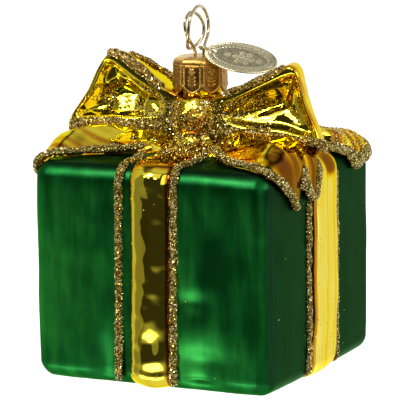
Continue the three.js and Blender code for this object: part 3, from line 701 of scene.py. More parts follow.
# ------------------------------------------------------------------ bow
LOOP = {1: [(3.0, 57.5), (34.2, 57.5), (35.9, 59.3), (36.2, 60.8), (35.4, 63), (33.6, 66.8), (32.1, 70.6), (30.7, 75.4), (29.9, 78.4), (28.8, 79.8),
            (27, 80.3), (25.2, 79.7), (21.4, 77.4), (16, 74.9), (10, 72.4), (3.0, 69.4)],
        -1: [(3.0, 57.5), (34.4, 57.5), (36.6, 59.9), (36.9, 61.8), (36.2, 64), (33.6, 67.8), (31.1, 71.4), (29.1, 75.2), (27.1, 78.6), (25.2, 80.8),
             (23.6, 81.4), (21.6, 81), (17.6, 78.9), (14, 76.3), (10, 73.6), (3.0, 70.2)]}
LOOP_F, LOOP_B = -6.5, 5.0
DISH = {1: [(8.6, 65.0), (13, 63.6), (25, 63.2), (30.3, 62.2), (33.8, 62.0), (34.6, 63.2), (32.9, 66.8), (31.2, 71), (29.8, 75.8), (28.8, 78.3), (26.6, 77.9),
            (19.8, 74.9), (14, 72.0), (8.6, 69.4)],
        -1: [(8.6, 65.6), (16, 64.6), (24, 64.3), (31, 64.0), (34.2, 64.0), (34.7, 65.0), (32.2, 68.2), (29.6, 72.0), (27.6, 75.9), (25.6, 79.2), (23.6, 79.4),
             (20.6, 77.6), (15.6, 74.4), (8.6, 70.4)]}
loop_poly = {k: smooth_poly(v, 0.8) for k, v in LOOP.items()}
dish_poly = {k: smooth_poly(v, 0.8) for k, v in DISH.items()}
loop_wave = {1: waves(31, 10, 6.0, 16.0), -1: waves(37, 10, 6.0, 16.0)}


def loop_back(x):
    return LOOP_B - 5.2 * np.clip((np.abs(x) - 14) / 23, 0, 1) ** 1.4


def apex_pinch(x, z, sign):
    """The left loop's back edge comes forward towards the apex."""
    return 0.0 if sign > 0 else 4.6 * smoothstep(11.0, 25.0, x) * smoothstep(69.0, 79.0, z)


def loop_field(sign):
    wave = loop_wave[sign]
    def f(P):
        x, y, z = P[:, 0] * sign, P[:, 1], P[:, 2]
        # the loop draws in towards its back
        x = x + 0.25 * np.clip(y - LOOP_F, 0, 12) * smoothstep(14.0, 28.0, x)
        d2 = poly_sd(x, z, loop_poly[sign])
        din = -poly_sd(x, z, dish_poly[sign])
        back = loop_back(x) - apex_pinch(x, z, sign)
        mid = (LOOP_F + back) / 2
        slab = np.abs(y - mid) - (back - LOOP_F) / 2
        # body with an outer fold and narrow rounded front and back edges
        q = smax(d2, slab, 1.5)
        # the hollow of the loop, seen from the front: a steep wall, then a buckled floor
        dep = (2.6 * smoothstep(-0.3, 1.9, din) + 2.6 * smoothstep(0.8, 7.5, din)) * (0.45 + 0.55 * smoothstep(8, 20, x))
        floor = LOOP_F + dep + 0.50 * wave(P) * smoothstep(0.3, 3.0, din)
        q = smax(q, floor - y, 0.7)
        depb = 2.4 * smoothstep(-1.0, 5.5, din)
        q = smax(q, y - (back - depb), 0.9)
        return q + 0.04 * wave(P * 0.7 + 9)
    return f


def loop_amber_and_shade(P, sign):
    """Brown lacquer on the rims of the loops, and painted shade low down where they near the box."""
    x, y, z = P[:, 0] * sign, P[:, 1], P[:, 2]
    d2 = -poly_sd(x, z, loop_poly[sign])
    rim = smoothstep(1.5, 0.3, d2) * smoothstep(-2.5, -5.0, y) * 0.42
    # painted shade: browner low down, where the loops near the box
    low = smoothstep(62.5, 59.5, z) * 0.8
    return np.clip(rim + low + 0.14 * loop_wave[sign](P * 1.7), 0, 1)


KNOT = (0.0, -2.4, 66.2, 7.4, 7.6, 5.1)
knot_wave = waves(41, 12, 3.5, 9.0)
NECK = (-0.6, -0.4)


def knot_field(P):
    x, y, z = P.T
    k = np.sqrt(((x - KNOT[0]) / KNOT[3]) ** 2 + ((y - KNOT[1]) / KNOT[4]) ** 2 + ((z - KNOT[2]) / KNOT[5]) ** 2)
    d = (k - 1) * 5.6
    # two pinches where the loops leave the knot
    fold = 0.42 * np.cos(np.clip(x / 2.9, -2.4, 2.4) * np.pi / 1.2) * smoothstep(-2, -8, y)
    d = d + fold * 0.6 + 0.22 * knot_wave(P)
    stem = np.hypot(x - NECK[0], y - NECK[1]) - 7.3
    stem = smax(stem, np.abs(z - 63.5) - 6.9, 1.2)
    # a skirt of glass that spreads from the knot on to the top of the box
    r = np.hypot(x * 0.62, (y + 3.0) * 0.8)
    skirt = smax(z - (56.2 + 6.4 * np.exp(-(r / 5.2) ** 2)), 54.6 - z, 0.5)
    skirt = smax(skirt, np.hypot(x, y + 3) - 15.0, 1.0)
    d = smin(smin(d, stem, 2.0), skirt, 2.4)
    hole = smax(np.hypot(x - NECK[0], y - NECK[1]) - 7.8, 71.3 - z, 0.3)
    return smax(d, -hole, 0.4)


def neck_tube():
    prof = [(4.4, 68.0), (5.6, 68.0), (5.6, 79.3), (5.3, 79.6), (4.7, 79.6), (4.4, 79.3)]
    n, V = 64, []
    for a in np.linspace(0, 2 * np.pi, n, endpoint=False):
        V += [(NECK[0] + r * math.cos(a), NECK[1] + r * math.sin(a), z) for r, z in prof]
    return mesh_object("glass_neck", V, [grid_faces(n, len(prof), True, True)], GOLD)


# ------------------------------------------------------------------ glitter
def frames(P, N):
    T = np.gradient(P, axis=0)
    T /= np.linalg.norm(T, axis=1)[:, None] + 1e-12
    N = N - (N * T).sum(1)[:, None] * T
    N /= np.linalg.norm(N, axis=1)[:, None] + 1e-12
    return T, N, np.cross(T, N)


bead_wave = waves(51, 26, 0.9, 4.0)
bead_slow = waves(52, 10, 4.0, 14.0)
flake_rng = np.random.default_rng(777)
FLAKES = {}


def flake_mesh(name, C, N, size, tint):
    """Thin six-sided flakes at C, facing N: closed prisms in one mesh."""
    n = len(C)
    rng = np.random.default_rng(abs(hash_name(name)))
    N = N / np.linalg.norm(N, axis=1)[:, None]
    ref = rng.normal(size=(n, 3))
    A = np.cross(N, ref)
    A /= np.linalg.norm(A, axis=1)[:, None]
    B = np.cross(N, A)
    ang = np.arange(6) * np.pi / 3
    ring = np.cos(ang)[None, :, None] * A[:, None] + np.sin(ang)[None, :, None] * B[:, None]
    ring = ring * (size / 2)[:, None, None]
    t = 0.03
    up, dn = C[:, None] + ring + N[:, None] * t, C[:, None] + ring - N[:, None] * t
    V = np.concatenate([up, dn], 1).reshape(-1, 3)
    base = (np.arange(n) * 12)[:, None]
    hexes = np.concatenate([base + np.arange(6)[None], base + 6 + np.arange(6)[None, ::-1]])
    k = np.arange(6)
    side = np.stack([k, k + 6, (k + 1) % 6 + 6, (k + 1) % 6], 1)
    sides = (base[:, :, None] + side[None]).reshape(-1, 4)
    return mesh_object(name, V, [hexes, sides], FLAKE, smooth=False, layers={"tint": np.repeat(tint, 12)})


def hash_name(s):
    h = 7
    for c in s:
        h = (h * 131 + ord(c)) % 2147483647
    return h


def tints(rng, n):
    return np.clip(rng.beta(0.6, 0.92, n), 0, 1)


def glitter_line(name, pts, width=1.9, height=1.0, density=15.0, glue=None):
    """A raised line of glue and flakes along points (x, y, z, nx, ny, nz)."""
    C = catmull(pts, 0.38)
    P, N = C[:, :3], C[:, 3:6]
    N = N / np.linalg.norm(N, axis=1)[:, None]
    T, N, B = frames(P, N)
    L = len(P)
    s = np.linspace(0, 1, L) * (L - 1) * 0.38
    end = np.minimum(s, s[-1] - s)
    cap_ = np.sqrt(np.clip(1 - (1 - np.clip(end / 1.1, 0, 1)) ** 2, 0, 1)) * 0.97 + 0.03
    drift = 0.09 * bead_slow(P + hash_name(name) % 97)
    w = (width / 2) * (1 + 0.08 * bead_slow(P * 1.3 + 31)) * cap_
    hh = height * (1 + 0.12 * bead_slow(P * 1.5 + 67)) * cap_
    m = 20
    ang = np.linspace(0, 2 * np.pi, m, endpoint=False)
    ca, sa = np.cos(ang), np.sin(ang)
    low = np.where(sa < 0, 0.5, 1.0)
    V = P[:, None] + B[:, None] * (drift[:, None] + w[:, None] * ca)[..., None] + N[:, None] * ((hh[:, None] * low) * sa)[..., None]
    out = V - P[:, None]
    out /= np.linalg.norm(out, axis=2)[..., None] + 1e-9
    bumps = 0.045 * bead_wave(V.reshape(-1, 3)).reshape(L, m) * cap_[:, None]
    V = V + out * bumps[..., None]
    n = L * m
    ends = np.vstack([V[0].mean(0), V[-1].mean(0)])
    F = [grid_faces(L, m, False, True, flip=True)]
    i = np.arange(m)
    tri0 = np.stack([np.full(m, n), (i + 1) % m, i], 1)[:, ::-1]
    tri1 = np.stack([np.full(m, n + 1), (L - 1) * m + i, (L - 1) * m + (i + 1) % m], 1)[:, ::-1]
    core = mesh_object(name, np.vstack([V.reshape(-1, 3), ends]), F + [tri0, tri1], glue or GLUE)
    rng = np.random.default_rng(hash_name(name))
    area = s[-1] * (math.pi * (width / 2 + height) / 2)
    k = int(area * density)
    li = rng.uniform(0, L - 1.001, k)
    ai = rng.uniform(-0.16, math.pi + 0.16, k) / (2 * math.pi) * m
    i0, j0 = li.astype(int), np.floor(ai).astype(int)
    fi, fj = (li - i0)[:, None], (ai - j0)[:, None]
    g = lambda a, b: V[a, b % m]
    Q = (g(i0, j0) * (1 - fi) + g(i0 + 1, j0) * fi) * (1 - fj) + (g(i0, j0 + 1) * (1 - fi) + g(i0 + 1, j0 + 1) * fi) * fj
    M = Q - P[i0]
    M /= np.linalg.norm(M, axis=1)[:, None] + 1e-9
    M = M + rng.normal(size=(k, 3)) * 0.7
    size = rng.uniform(0.20, 0.42, k)
    fl = flake_mesh(name + "_flakes", Q + 0.05 * M, M, size, tints(rng, k))
    return core, fl


def face_run(x, y1, z0=0.6, sx=1.0):
    """Up the front face at x and over the top edge on to the top; y1 is not used."""
    y, r = -HY, R
    out = []
    a = math.radians(-36)
    at = lambda z: x + 0.016 * (z - 28)
    out.append([at(0), y + r - r * math.cos(a), Z0 + r + r * math.sin(a), 0, -math.cos(a), math.sin(a)])
    a = math.radians(-18)
    out.append([at(2), y + r - r * math.cos(a), Z0 + r + r * math.sin(a), 0, -math.cos(a), math.sin(a)])
    for z in (5, 12, 20, 28, 36, 44, H - r):
        out.append([at(z), y, z, 0, -1, 0])
    for a in (22.5, 45, 67.5):
        t = math.radians(a)
        out.append([at(H), y + r - r * math.cos(t), H - r + r * math.sin(t), 0, -math.cos(t), math.sin(t)])
    out.append([at(H), y + r, H, 0, 0, 1])
    return out


def side_run(y, z1, sign=1):
    r, out = R, []
    for a in (-36, -18):
        t = math.radians(a)
        out.append([sign * (HX - r + r * math.cos(t)), y, Z0 + r + r * math.sin(t), sign * math.cos(t), 0, math.sin(t)])
    for z in np.linspace(5, z1, 7):
        out.append([sign * HX, y, z, sign, 0, 0])
    return out


def tail_line(outline_part, front, sign, lift=0.0):
    """Points of (s, y) on a tail's rim turned into a glitter line on the glass."""
    out = []
    for s, y in outline_part:
        hgt = 0.85 + lift + (1.3 * smoothstep(20.0, 8.0, s) if front else 0.0)
        p, n = wrap(np.array([float(s)]), np.array([float(y)]), np.array([hgt]), sign)
        out.append([*p[0], *n[0]])
    return out


# ------------------------------------------------------------------ build the glass
pieces = {}
body = box_body()
band_f = ribbon_band("ribbon_front_back", 0, HY, -5.35, 6.3, 61, 0.014)
band_s = ribbon_band("ribbon_sides", 1, HX, -7.7, 8.2, 62, 0.0, 6.0)
tails = [tail("tail_front_right", TAIL_FR, 1, True), tail("tail_front_left", TAIL_FL, -1, True),
         tail("tail_back_right", TAIL_BK, 1, False), tail("tail_back_left", TAIL_BK, -1, False)]
loops = []
for sign, nm in ((1, "bow_loop_right"), (-1, "bow_loop_left")):
    lo, hi = (1.5, -8.0, 56.0), (38.5, 6.5, 83.0)
    if sign < 0:
        lo, hi = (-38.5, -8.0, 56.0), (-1.5, 6.5, 83.0)
    V, F = surface_net(loop_field(sign), lo, hi, 0.45)
    loops.append(mesh_object(nm, V, [F], GOLD, layers={"amber_and_shade": loop_amber_and_shade(V, sign)}))
V, F = surface_net(knot_field, (-17, -19, 54.0), (17, 13, 72.6), 0.55)
knot_brown = np.clip(0.05 + 0.30 * knot_wave(V * 0.8 + 4) + 0.4 * smoothstep(-4, -15, V[:, 1]), 0, 1)
knot = mesh_object("bow_knot", V, [F], GOLD, layers={"amber_and_shade": knot_brown})
neck = neck_tube()
glass = [body, band_f, band_s, *tails, *loops, knot, neck]
for ob in glass:
    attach(ob, "glass")
    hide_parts("glass_shell")


def lay(node_name, name, pts, **kw):
    core, fl = glitter_line(name, pts, **kw)
    for o in (core, fl):
        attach(o, "glass")
        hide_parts(node_name)


def flip(pts):
    return [[-p[0], p[1], p[2], -p[3], p[4], p[5]] for p in pts][::-1]


def turn(pts):
    return [[-p[0], -p[1], p[2], -p[3], -p[4], p[5]] for p in pts]


def on_top(pts):
    return [[x, y, z, 0, -0.1, 1] for x, y, z in pts]


lay("trim_front_left", "glitter_front_left", face_run(-8.25, 0) + on_top([(-8.0, -24, H), (-8.6, -20, 57.0), (-9.2, -16.6, 57.6)]))
lay("trim_front_right", "glitter_front_right", face_run(7.2, 0) + on_top([(7.6, -24, H), (7.8, -19, 57.0), (8.2, -15.4, 57.8)]))
lay("trim_back_left", "glitter_back_left", turn(face_run(7.8, 0) + on_top([(7.8, -24, H), (7.6, -19, 57.0), (7.2, -15, 57.6)])))
lay("trim_back_right", "glitter_back_right", turn(face_run(-7.8, 0) + on_top([(-7.8, -24, H), (-7.6, -19, 57.0), (-7.2, -15, 57.6)])))
lay("trim_right_front", "glitter_right_front", side_run(-9.2, 46.5))
lay("trim_right_back", "glitter_right_back", side_run(8.8, 52.0), width=1.7, height=0.6)
lay("trim_left_front", "glitter_left_front", side_run(-9.2, 46.5, -1))
lay("trim_left_back", "glitter_left_back", side_run(8.8, 52.0, -1), width=1.7, height=0.6)
TOP_LINE = {1: [(8.6, 71.7), (13, 73.5), (18, 75.7), (22.6, 78), (26, 79.9)], -1: [(8.6, 72.6), (12, 74.8), (16, 77.6), (20, 80.1), (23.4, 81.3), (25.0, 80.9)]}
BACK_LINE = {1: [(9.4, 72.1), (12, 73.2), (14.4, 74.2)], -1: [(9.4, 73.1), (13, 75.5), (17.4, 78.7), (21.4, 80.6)]}
LOW_LINE = {1: [(9, 61.8), (13, 62.2), (19, 62.2), (25, 61.8), (30.3, 60.8), (34.8, 60.9)], -1: [(9, 62.6), (16, 63.0), (24, 62.9), (31, 62.6), (36.0, 62.4)]}
for sign, outline, tag in ((1, TAIL_FR, "right"), (-1, TAIL_FL, "left")):
    line = tail_line(outline[1:12], True, sign)
    lay("trim_tail_front_" + tag, "glitter_tail_front_" + tag, line, width=2.3, height=1.15)
    fork = tail_line(outline[13:24], True, sign, 0.15)
    lay("trim_fork_front_" + tag, "glitter_fork_front_" + tag, fork, width=2.4, height=1.2)
    back = tail_line(TAIL_BK[3:16], False, sign)
    lay("trim_tail_back_" + tag, "glitter_tail_back_" + tag, back, width=4.2, height=1.3)
    m = (lambda p: p) if sign > 0 else flip
    low = [[x, LOOP_F - (0.25 if x < 34 else -0.6), z, 0.4 * (x > 34), -1, 0.35] for x, z in LOW_LINE[sign]]
    if sign > 0:
        low += [[35.8, -4.6, 60.0, 1, -0.5, 0.3], [36.0, -2.4, 58.8, 1, -0.5, 0.3]]
    lay("trim_bow_%s_low" % tag, "glitter_bow_%s_low" % tag, m(low), width=2.7, height=1.15, density=14.0, glue=GLUE_BROWN)
    top = [[x, LOOP_F + 0.9, z, -0.35, -0.75, 0.85] for x, z in TOP_LINE[sign]]
    lay("trim_bow_%s_top" % tag, "glitter_bow_%s_top" % tag, m(top), width=2.1 if sign > 0 else 2.6, height=0.85, density=14.0, glue=GLUE_BROWN)
    bk = [[x, float(loop_back(x) - apex_pinch(x, z, sign)) - 0.9, z, -0.35, 0.5, 0.9] for x, z in BACK_LINE[sign]]
    lay("trim_bow_%s_back" % tag, "glitter_bow_%s_back" % tag, m(bk), width=2.1, height=0.85, density=14.0, glue=GLUE_BROWN)


# ------------------------------------------------------------------ glitter over the knot
def scatter(name, obs, weight, count, node_name=None, size=(0.24, 0.46), tilt=0.45, push=0.05):
    """Flakes strewn on the faces of obs; weight gives each place its share."""
    rng = np.random.default_rng(hash_name(name))
    Cs, Ns, Ws = [], [], []
    for ob in obs:
        me = ob.data
        n = len(me.polygons)
        c, nn, a = np.zeros(n * 3), np.zeros(n * 3), np.zeros(n)
        me.polygons.foreach_get("center", c)
        me.polygons.foreach_get("normal", nn)
        me.polygons.foreach_get("area", a)
        c = c.reshape(-1, 3) / MM
        c[:, 2] -= FOOT
        nn = nn.reshape(-1, 3)
        Cs.append(c)
        Ns.append(nn)
        Ws.append(a * 1e6 * weight(c, nn))
    C, N, W = np.vstack(Cs), np.vstack(Ns), np.concatenate(Ws)
    pick = rng.choice(len(C), size=count, p=W / W.sum())
    N = N[pick]
    side = np.cross(N, rng.normal(size=N.shape))
    side /= np.linalg.norm(side, axis=1)[:, None]
    Q = C[pick] + side * rng.uniform(0, 0.34, count)[:, None] + N * push
    M = N + rng.normal(size=N.shape) * tilt
    ob = flake_mesh(name, Q, M, rng.uniform(*size, count), tints(rng, count))
    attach(ob, "glass")
    if node_name:
        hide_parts(node_name)
    return ob


crust_wave = waves(71, 14, 2.0, 6.0)
STROKES = [([(-6, 64.4), (-12.5, 65.8), (-18.3, 67.3), (-22.7, 68.7), (-29.2, 68.9)], 1.25), ([(-6, 68.5), (-11.5, 71.0), (-15.5, 73.4)], 0.8),
           ([(6, 66.4), (12.1, 66.3), (16, 65.7), (20.8, 65.2)], 1.0), ([(6, 68.4), (13.6, 70.3), (18.2, 70.8), (19.8, 72.7)], 0.8),
           ([(5, 62.8), (12, 63.0), (20, 62.8)], 1.2), ([(-5, 63.2), (-12, 63.8), (-20, 63.8)], 1.2)]


def stroke(x, z, pts, wide):
    """1 on a polyline in the (x, z) plane, fading off over wide mm and thinning towards its end."""
    best = np.zeros(len(x))
    n = len(pts) - 1
    for i in range(n):
        (x0, z0), (x1, z1) = pts[i], pts[i + 1]
        ex, ez = x1 - x0, z1 - z0
        t = np.clip(((x - x0) * ex + (z - z0) * ez) / (ex * ex + ez * ez), 0, 1)
        d = np.hypot(x - x0 - ex * t, z - z0 - ez * t)
        best = np.maximum(best, np.exp(-(d / wide) ** 2) * (1.0 - 0.55 * (i + t) / n))
    return best


def crust(c, n):
    x, y, z = c.T
    r = np.sqrt((x / 10.5) ** 2 + ((z - 65.5) / 6.5) ** 2 + ((y + 4.0) / 9.5) ** 2)
    w = smoothstep(1.25, 0.75, r)
    clear = np.exp(-(((x + 0.6) / 2.4) ** 2 + ((z - 68.0) / 1.6) ** 2)) * (y < -6)
    w = w * (1 - 0.95 * clear) * smoothstep(-1.4, 0.2, crust_wave(c)) * smoothstep(72.0, 71.0, z)
    # strokes of glitter run from the knot into each loop
    for pts, wide in STROKES:
        w = w + 1.9 * stroke(x, z, pts, wide) * (y < 0) * (y > -7.3)
    # powder on the top near the knot
    top = np.exp(-((x / 12.0) ** 2 + ((y + 12) / 8.0) ** 2)) * (n[:, 2] > -0.2) * (z < 66)
    return w + 0.5 * top


def knot_glitter(c, n):
    # none inside the neck, where the wire's legs slide
    bore = (np.hypot(c[:, 0] - NECK[0], c[:, 1] - NECK[1]) < 7.75) & (c[:, 2] > 69.5)
    return (crust(c, n) + 0.12 * (c[:, 1] < 2) * (c[:, 2] > 58)) * ~bore


scatter("glitter_knot", [knot], knot_glitter, 9000, "trim_knot", size=(0.2, 0.4))
scatter("glitter_strokes", [*loops, tails[0], tails[1], band_f], crust, 9200, "trim_knot", size=(0.18, 0.36))


def stray(c, n):
    x, y, z = c.T
    return 0.02 + 0.5 * np.exp(-((np.abs(y) - 7) / 5.0) ** 2) * (np.abs(x) > 30) + 0.6 * np.exp(-((np.abs(x) - 7.5) / 3.0) ** 2) * (np.abs(y) > 30)


scatter("glitter_back_powder", [tails[2], tails[3]], lambda c, n: (0.06 + smoothstep(25.0, 33.0, np.abs(c[:, 0]))) * (n[:, 2] + np.abs(n[:, 0]) > 0.3) * (c[:, 2] > 56.8 - 3.4 * (np.abs(c[:, 0]) > 31)),
        1300, None, size=(0.2, 0.4))
scatter("glitter_stray", [body, band_f, band_s], stray, 420, None, size=(0.16, 0.3), tilt=0.12, push=0.04)


# ------------------------------------------------------------------ crown cap
CAP = dict(r=7.25, t=0.45, top=81.1, shoulder=79.2, skirt=73.6, petal=2.0, turn=math.radians(-82.7))


def cap_relief(u, v, k):
    """Embossing on one panel: u across in -1..1, v up in 0..1 from the petal tips."""
    e = np.zeros_like(u)
    width, tall = 2.75, CAP["shoulder"] - CAP["skirt"] + CAP["petal"]   # half panel width and height, mm
    x, y = u * width, v * tall
    def dots(px, py, r=0.2, hgt=0.16):
        return hgt * np.clip(1 - ((px) ** 2 + (py) ** 2) / r ** 2, 0, 1)
    pitch = 0.52
    yy = (y / pitch - np.round(y / pitch)) * pitch
    for sx in (-1, 1):
        e += dots(x - sx * 2.2, yy, 0.25, 0.24) * (v > 0.27)
    e -= 0.22 * np.exp(-((np.abs(x) - 2.75) / 0.24) ** 2)
    # a beaded border along the petal
    low_edge = CAP["petal"] * np.abs(u) ** 1.6
    s = x / pitch
    e += 0.20 * np.exp(-((y - low_edge - 0.42) / 0.17) ** 2) * (0.45 + 0.55 * np.cos(2 * np.pi * s * 1.1) ** 2)
    # rosette
    cx, cy = 0.0, 5.75
    r = np.hypot(x - cx, y - cy)
    a = np.arctan2(y - cy, x - cx)
    e += 0.2 * np.exp(-((r - 0.62 - 0.16 * np.cos(6 * a)) / 0.24) ** 2) + 0.2 * np.exp(-(r / 0.2) ** 2)
    # stem with paired leaves
    e += 0.13 * np.exp(-(x / 0.12) ** 2) * smoothstep(1.5, 1.8, y) * smoothstep(5.0, 4.7, y)
    for y0 in (2.2, 3.1, 4.0):
        for sx in (-1, 1):
            dx, dy = x * sx - 0.75, y - y0 - 0.25
            q = (dx * 0.85 + dy * 0.5) ** 2 / 0.30 + (dx * -0.5 + dy * 0.85) ** 2 / 0.045
            e += 0.15 * np.exp(-q)
    e += 0.12 * np.exp(-((y - 7.3) / 0.16) ** 2)
    return e


def crown_cap():
    nt_, nv = 480, 84
    th = np.linspace(0, 2 * np.pi, nt_, endpoint=False)
    rel = (th - CAP["turn"]) / (np.pi / 4)
    k = np.round(rel)
    u = (rel - k) * 2                                   # -1..1 across a panel
    octo = math.cos(math.pi / 8) / np.cos((rel - k) * np.pi / 4)
    octo = 1 - (1 - octo / octo.max()) * 0.85
    petal = CAP["skirt"] - CAP["petal"] * (1 - np.abs(u) ** 1.6)
    rows = []
    R0 = CAP["r"]
    v = np.linspace(0, 1, nv)
    for vv in v:
        z = petal + (CAP["shoulder"] - petal) * vv
        e = cap_relief(u, np.full_like(u, 0) + (z - (CAP["skirt"] - CAP["petal"])) / (CAP["shoulder"] - CAP["skirt"] + CAP["petal"]), k)
        flare = 0.16 * (1 - vv) ** 2
        r = R0 * octo - 0.18 + e + flare
        rows.append((r, z))
    dome = [(0.990, 0.45), (0.97, 0.85), (0.945, 1.15), (0.90, 1.42), (0.85, 1.62), (0.79, 1.76), (0.72, 1.84), (0.6, 1.88), (0.4, 1.9), (0.2, 1.9), (0.06, 1.9)]
    P0 = rows[-1][0]
    for f, dz in dome:
        blend = 1 - (1 - f) * 2.4
        rr = (R0 * 0.975) * f * (octo * max(0, blend) + (1 - max(0, blend)) * octo.mean())
        rows.append((rr, np.full(nt_, CAP["shoulder"] + dz)))
    outer = [np.stack([NECK[0] + r * np.cos(th), NECK[1] + r * np.sin(th), z], 1) for r, z in rows]
    inner = []
    for r, z in rows[::-1]:
        rin = np.minimum(r, R0 * octo - 0.18) - CAP["t"]
        rin = np.maximum(rin, 0.05)
        zin = np.where(z > CAP["shoulder"], z - CAP["t"], z)
        inner.append(np.stack([NECK[0] + rin * np.cos(th), NECK[1] + rin * np.sin(th), zin], 1))
    V = np.vstack(outer + inner)
    n = len(outer) + len(inner)
    F = grid_faces(n, nt_, True, True, flip=True)
    keep = np.ones(n * nt_, bool)
    # the ring of faces between the two poles closes the middle instead of a tube
    ob = mesh_object("cap_crown", V, [F], BRONZE)
    return ob


LEGS = ((-1.8, -0.6), (0.5, -0.3))
cap = crown_cap()
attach(cap, "crown")
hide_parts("cap")


# ------------------------------------------------------------------ wire and ring
WIRE_PATH = [
    [-3.3, -1.1, 65.5], [-2.9, -0.95, 69], [-2.1, -0.7, 73.5], [-1.8, -0.6, 77], [-1.8, -0.6, 80.5], [-1.8, -0.75, 82],
    [-1.85, -1.7, 83.4], [-2.15, -3.2, 85.2], [-2.65, -4.5, 87.8], [-2.8, -4.3, 90.2], [-2.5, -1.9, 92.2], [-1.9, 1.6, 91.2],
    [-1.35, 3.5, 88.4], [-1.4, 3.2, 85.7], [-2.35, 1.3, 83.5], [-3.0, -0.9, 82.8], [-2.7, -3.3, 83.4], [-1.7, -5.1, 85.4],
    [-1.1, -5.8, 88.5], [-0.9, -4.9, 91.5], [-0.75, -1.2, 93.8], [-0.55, 2.4, 92.7], [-0.35, 4.2, 89.6], [-0.1, 3.6, 86.4],
    [0.3, 1.3, 84.5], [0.5, -0.1, 83], [0.5, -0.3, 81.2], [0.5, -0.3, 77], [0.8, -0.2, 73.5], [1.6, 0, 69], [2.1, 0.1, 65.5]]


def tube(name, pts, r, mat, closed=False, step=0.28, m=16):
    C = catmull(pts, step, closed)
    P = C[:, :3]
    T = (np.roll(P, -1, 0) - np.roll(P, 1, 0)) if closed else np.gradient(P, axis=0)
    T /= np.linalg.norm(T, axis=1)[:, None]
    n = np.cross(T[0], [0.3, 0.5, 0.8])
    n /= np.linalg.norm(n)
    Ns = []
    for t in T:
        n = n - n.dot(t) * t
        n /= np.linalg.norm(n)
        Ns.append(n)
    N = np.array(Ns)
    B = np.cross(T, N)
    ang = np.linspace(0, 2 * np.pi, m, endpoint=False)
    L = len(P)
    s = np.arange(L) * step
    rad = np.full(L, r)
    V = P[:, None] + (N[:, None] * np.cos(ang)[None, :, None] + B[:, None] * np.sin(ang)[None, :, None]) * rad[:, None, None]
    F = [grid_faces(L, m, closed, True, flip=True)]
    V = V.reshape(-1, 3)
    if not closed:
        k = len(V)
        V = np.vstack([V, P[0] - T[0] * r * 0.35, P[-1] + T[-1] * r * 0.35])
        i = np.arange(m)
        F.append(np.stack([np.full(m, k), i, (i + 1) % m], 1)[:, ::-1])
        F.append(np.stack([np.full(m, k + 1), (L - 1) * m + (i + 1) % m, (L - 1) * m + i], 1)[:, ::-1])
    return mesh_object(name, V, F, mat)


wire = tube("hanger_loops", WIRE_PATH, 0.45, WIRE)
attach(wire, "hanger")
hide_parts("hanger_wire")

RING = dict(R=2.2, r=0.28, c=np.array([1.735, -0.913, 82.52]), tilt=math.radians(27.8))
U = np.array([-0.8956, 0.4448, 0.0])
PERP = np.array([-0.4448, -0.8956, 0.0])
Wd = PERP * math.cos(RING["tilt"]) + np.array([0, 0, math.sin(RING["tilt"])])
ringpts = [RING["c"] + RING["R"] * (U * math.cos(a) + Wd * math.sin(a)) for a in np.linspace(0, 2 * np.pi, 16, endpoint=False)]
ring = tube("jump_ring_wire", ringpts, RING["r"], WIRE, closed=True, step=0.2, m=14)
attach(ring, "ring")
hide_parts("jump_ring")


# ------------------------------------------------------------------ charm
TAG = dict(a=9.78, b=6.65, t=0.6, hole=1.15, inset=1.85)
TA = np.array([0.9759, 0.1127, -0.1869])
TA /= np.linalg.norm(TA)
TB0 = np.array([-0.0297, 0.917, 0.3979])
TN = np.cross(TA, TB0); TN /= np.linalg.norm(TN)
TB = np.cross(TN, TA)
HOLE = RING["c"] - U * RING["R"]
TC = HOLE + TA * (TAG["a"] - TAG["inset"])


def charm_relief(x, y):
    a, b = TAG["a"], TAG["b"]
    r = np.sqrt((x / a) ** 2 + (y / b) ** 2)
    t = np.arctan2(y / b, x / a)
    d = (1 - r) * np.where(np.abs(np.cos(t)) > 0, a * b / np.sqrt((b * np.cos(t)) ** 2 + (a * np.sin(t)) ** 2 + 1e-9), b)
    e = np.zeros_like(x)
    # rim and its reeding
    arc = t * (a + b) / 2
    reed = 0.5 + 0.5 * np.cos(arc * 2 * np.pi / 0.62)
    rim = np.exp(-((d - 0.55) / 0.38) ** 2)
    e += rim * (0.06 + 0.24 * reed)
    # ring of grains just inside
    e += 0.10 * np.exp(-((d - 1.35) / 0.14) ** 2) * (0.4 + 0.6 * np.cos(arc * 2 * np.pi / 0.5) ** 2)
    field = smoothstep(1.2, 1.6, d)
    e -= 0.06 * field
    # generic six-armed snowflake in the middle
    cx = 0.7
    px, py = x - cx, y
    rr = np.hypot(px, py)
    aa = np.arctan2(py, px)
    sec = (aa + np.pi / 6) % (np.pi / 3) - np.pi / 6
    u, v = rr * np.cos(sec), np.abs(rr * np.sin(sec))
    arm = np.exp(-(v / 0.15) ** 2) * smoothstep(3.1, 2.8, u)
    for u0, ln in ((1.3, 0.75), (2.1, 0.6)):
        q = u - u0 - v * 0.75
        arm = np.maximum(arm, np.exp(-(q / 0.15) ** 2) * smoothstep(ln + 0.1, ln - 0.1, v))
    e += 0.17 * arm + 0.14 * np.exp(-(rr / 0.35) ** 2)
    # a beaded inner oval and a small rosette on either side
    beads = 0.5 + 0.5 * np.cos(t * 44)
    e += 0.17 * np.exp(-((d - 2.35) / 0.2) ** 2) * beads ** 2
    for c0 in (5.0, -3.7):
        qx, qy = x - c0, y
        r2, a2 = np.hypot(qx, qy), np.arctan2(qy, qx)
        e += 0.15 * np.exp(-((r2 - 0.62) / 0.17) ** 2) * (0.5 + 0.5 * np.cos(5 * a2)) + 0.15 * np.exp(-(r2 / 0.24) ** 2)
    return e * smoothstep(1.05, 1.45, np.hypot(x + a - TAG["inset"], y))


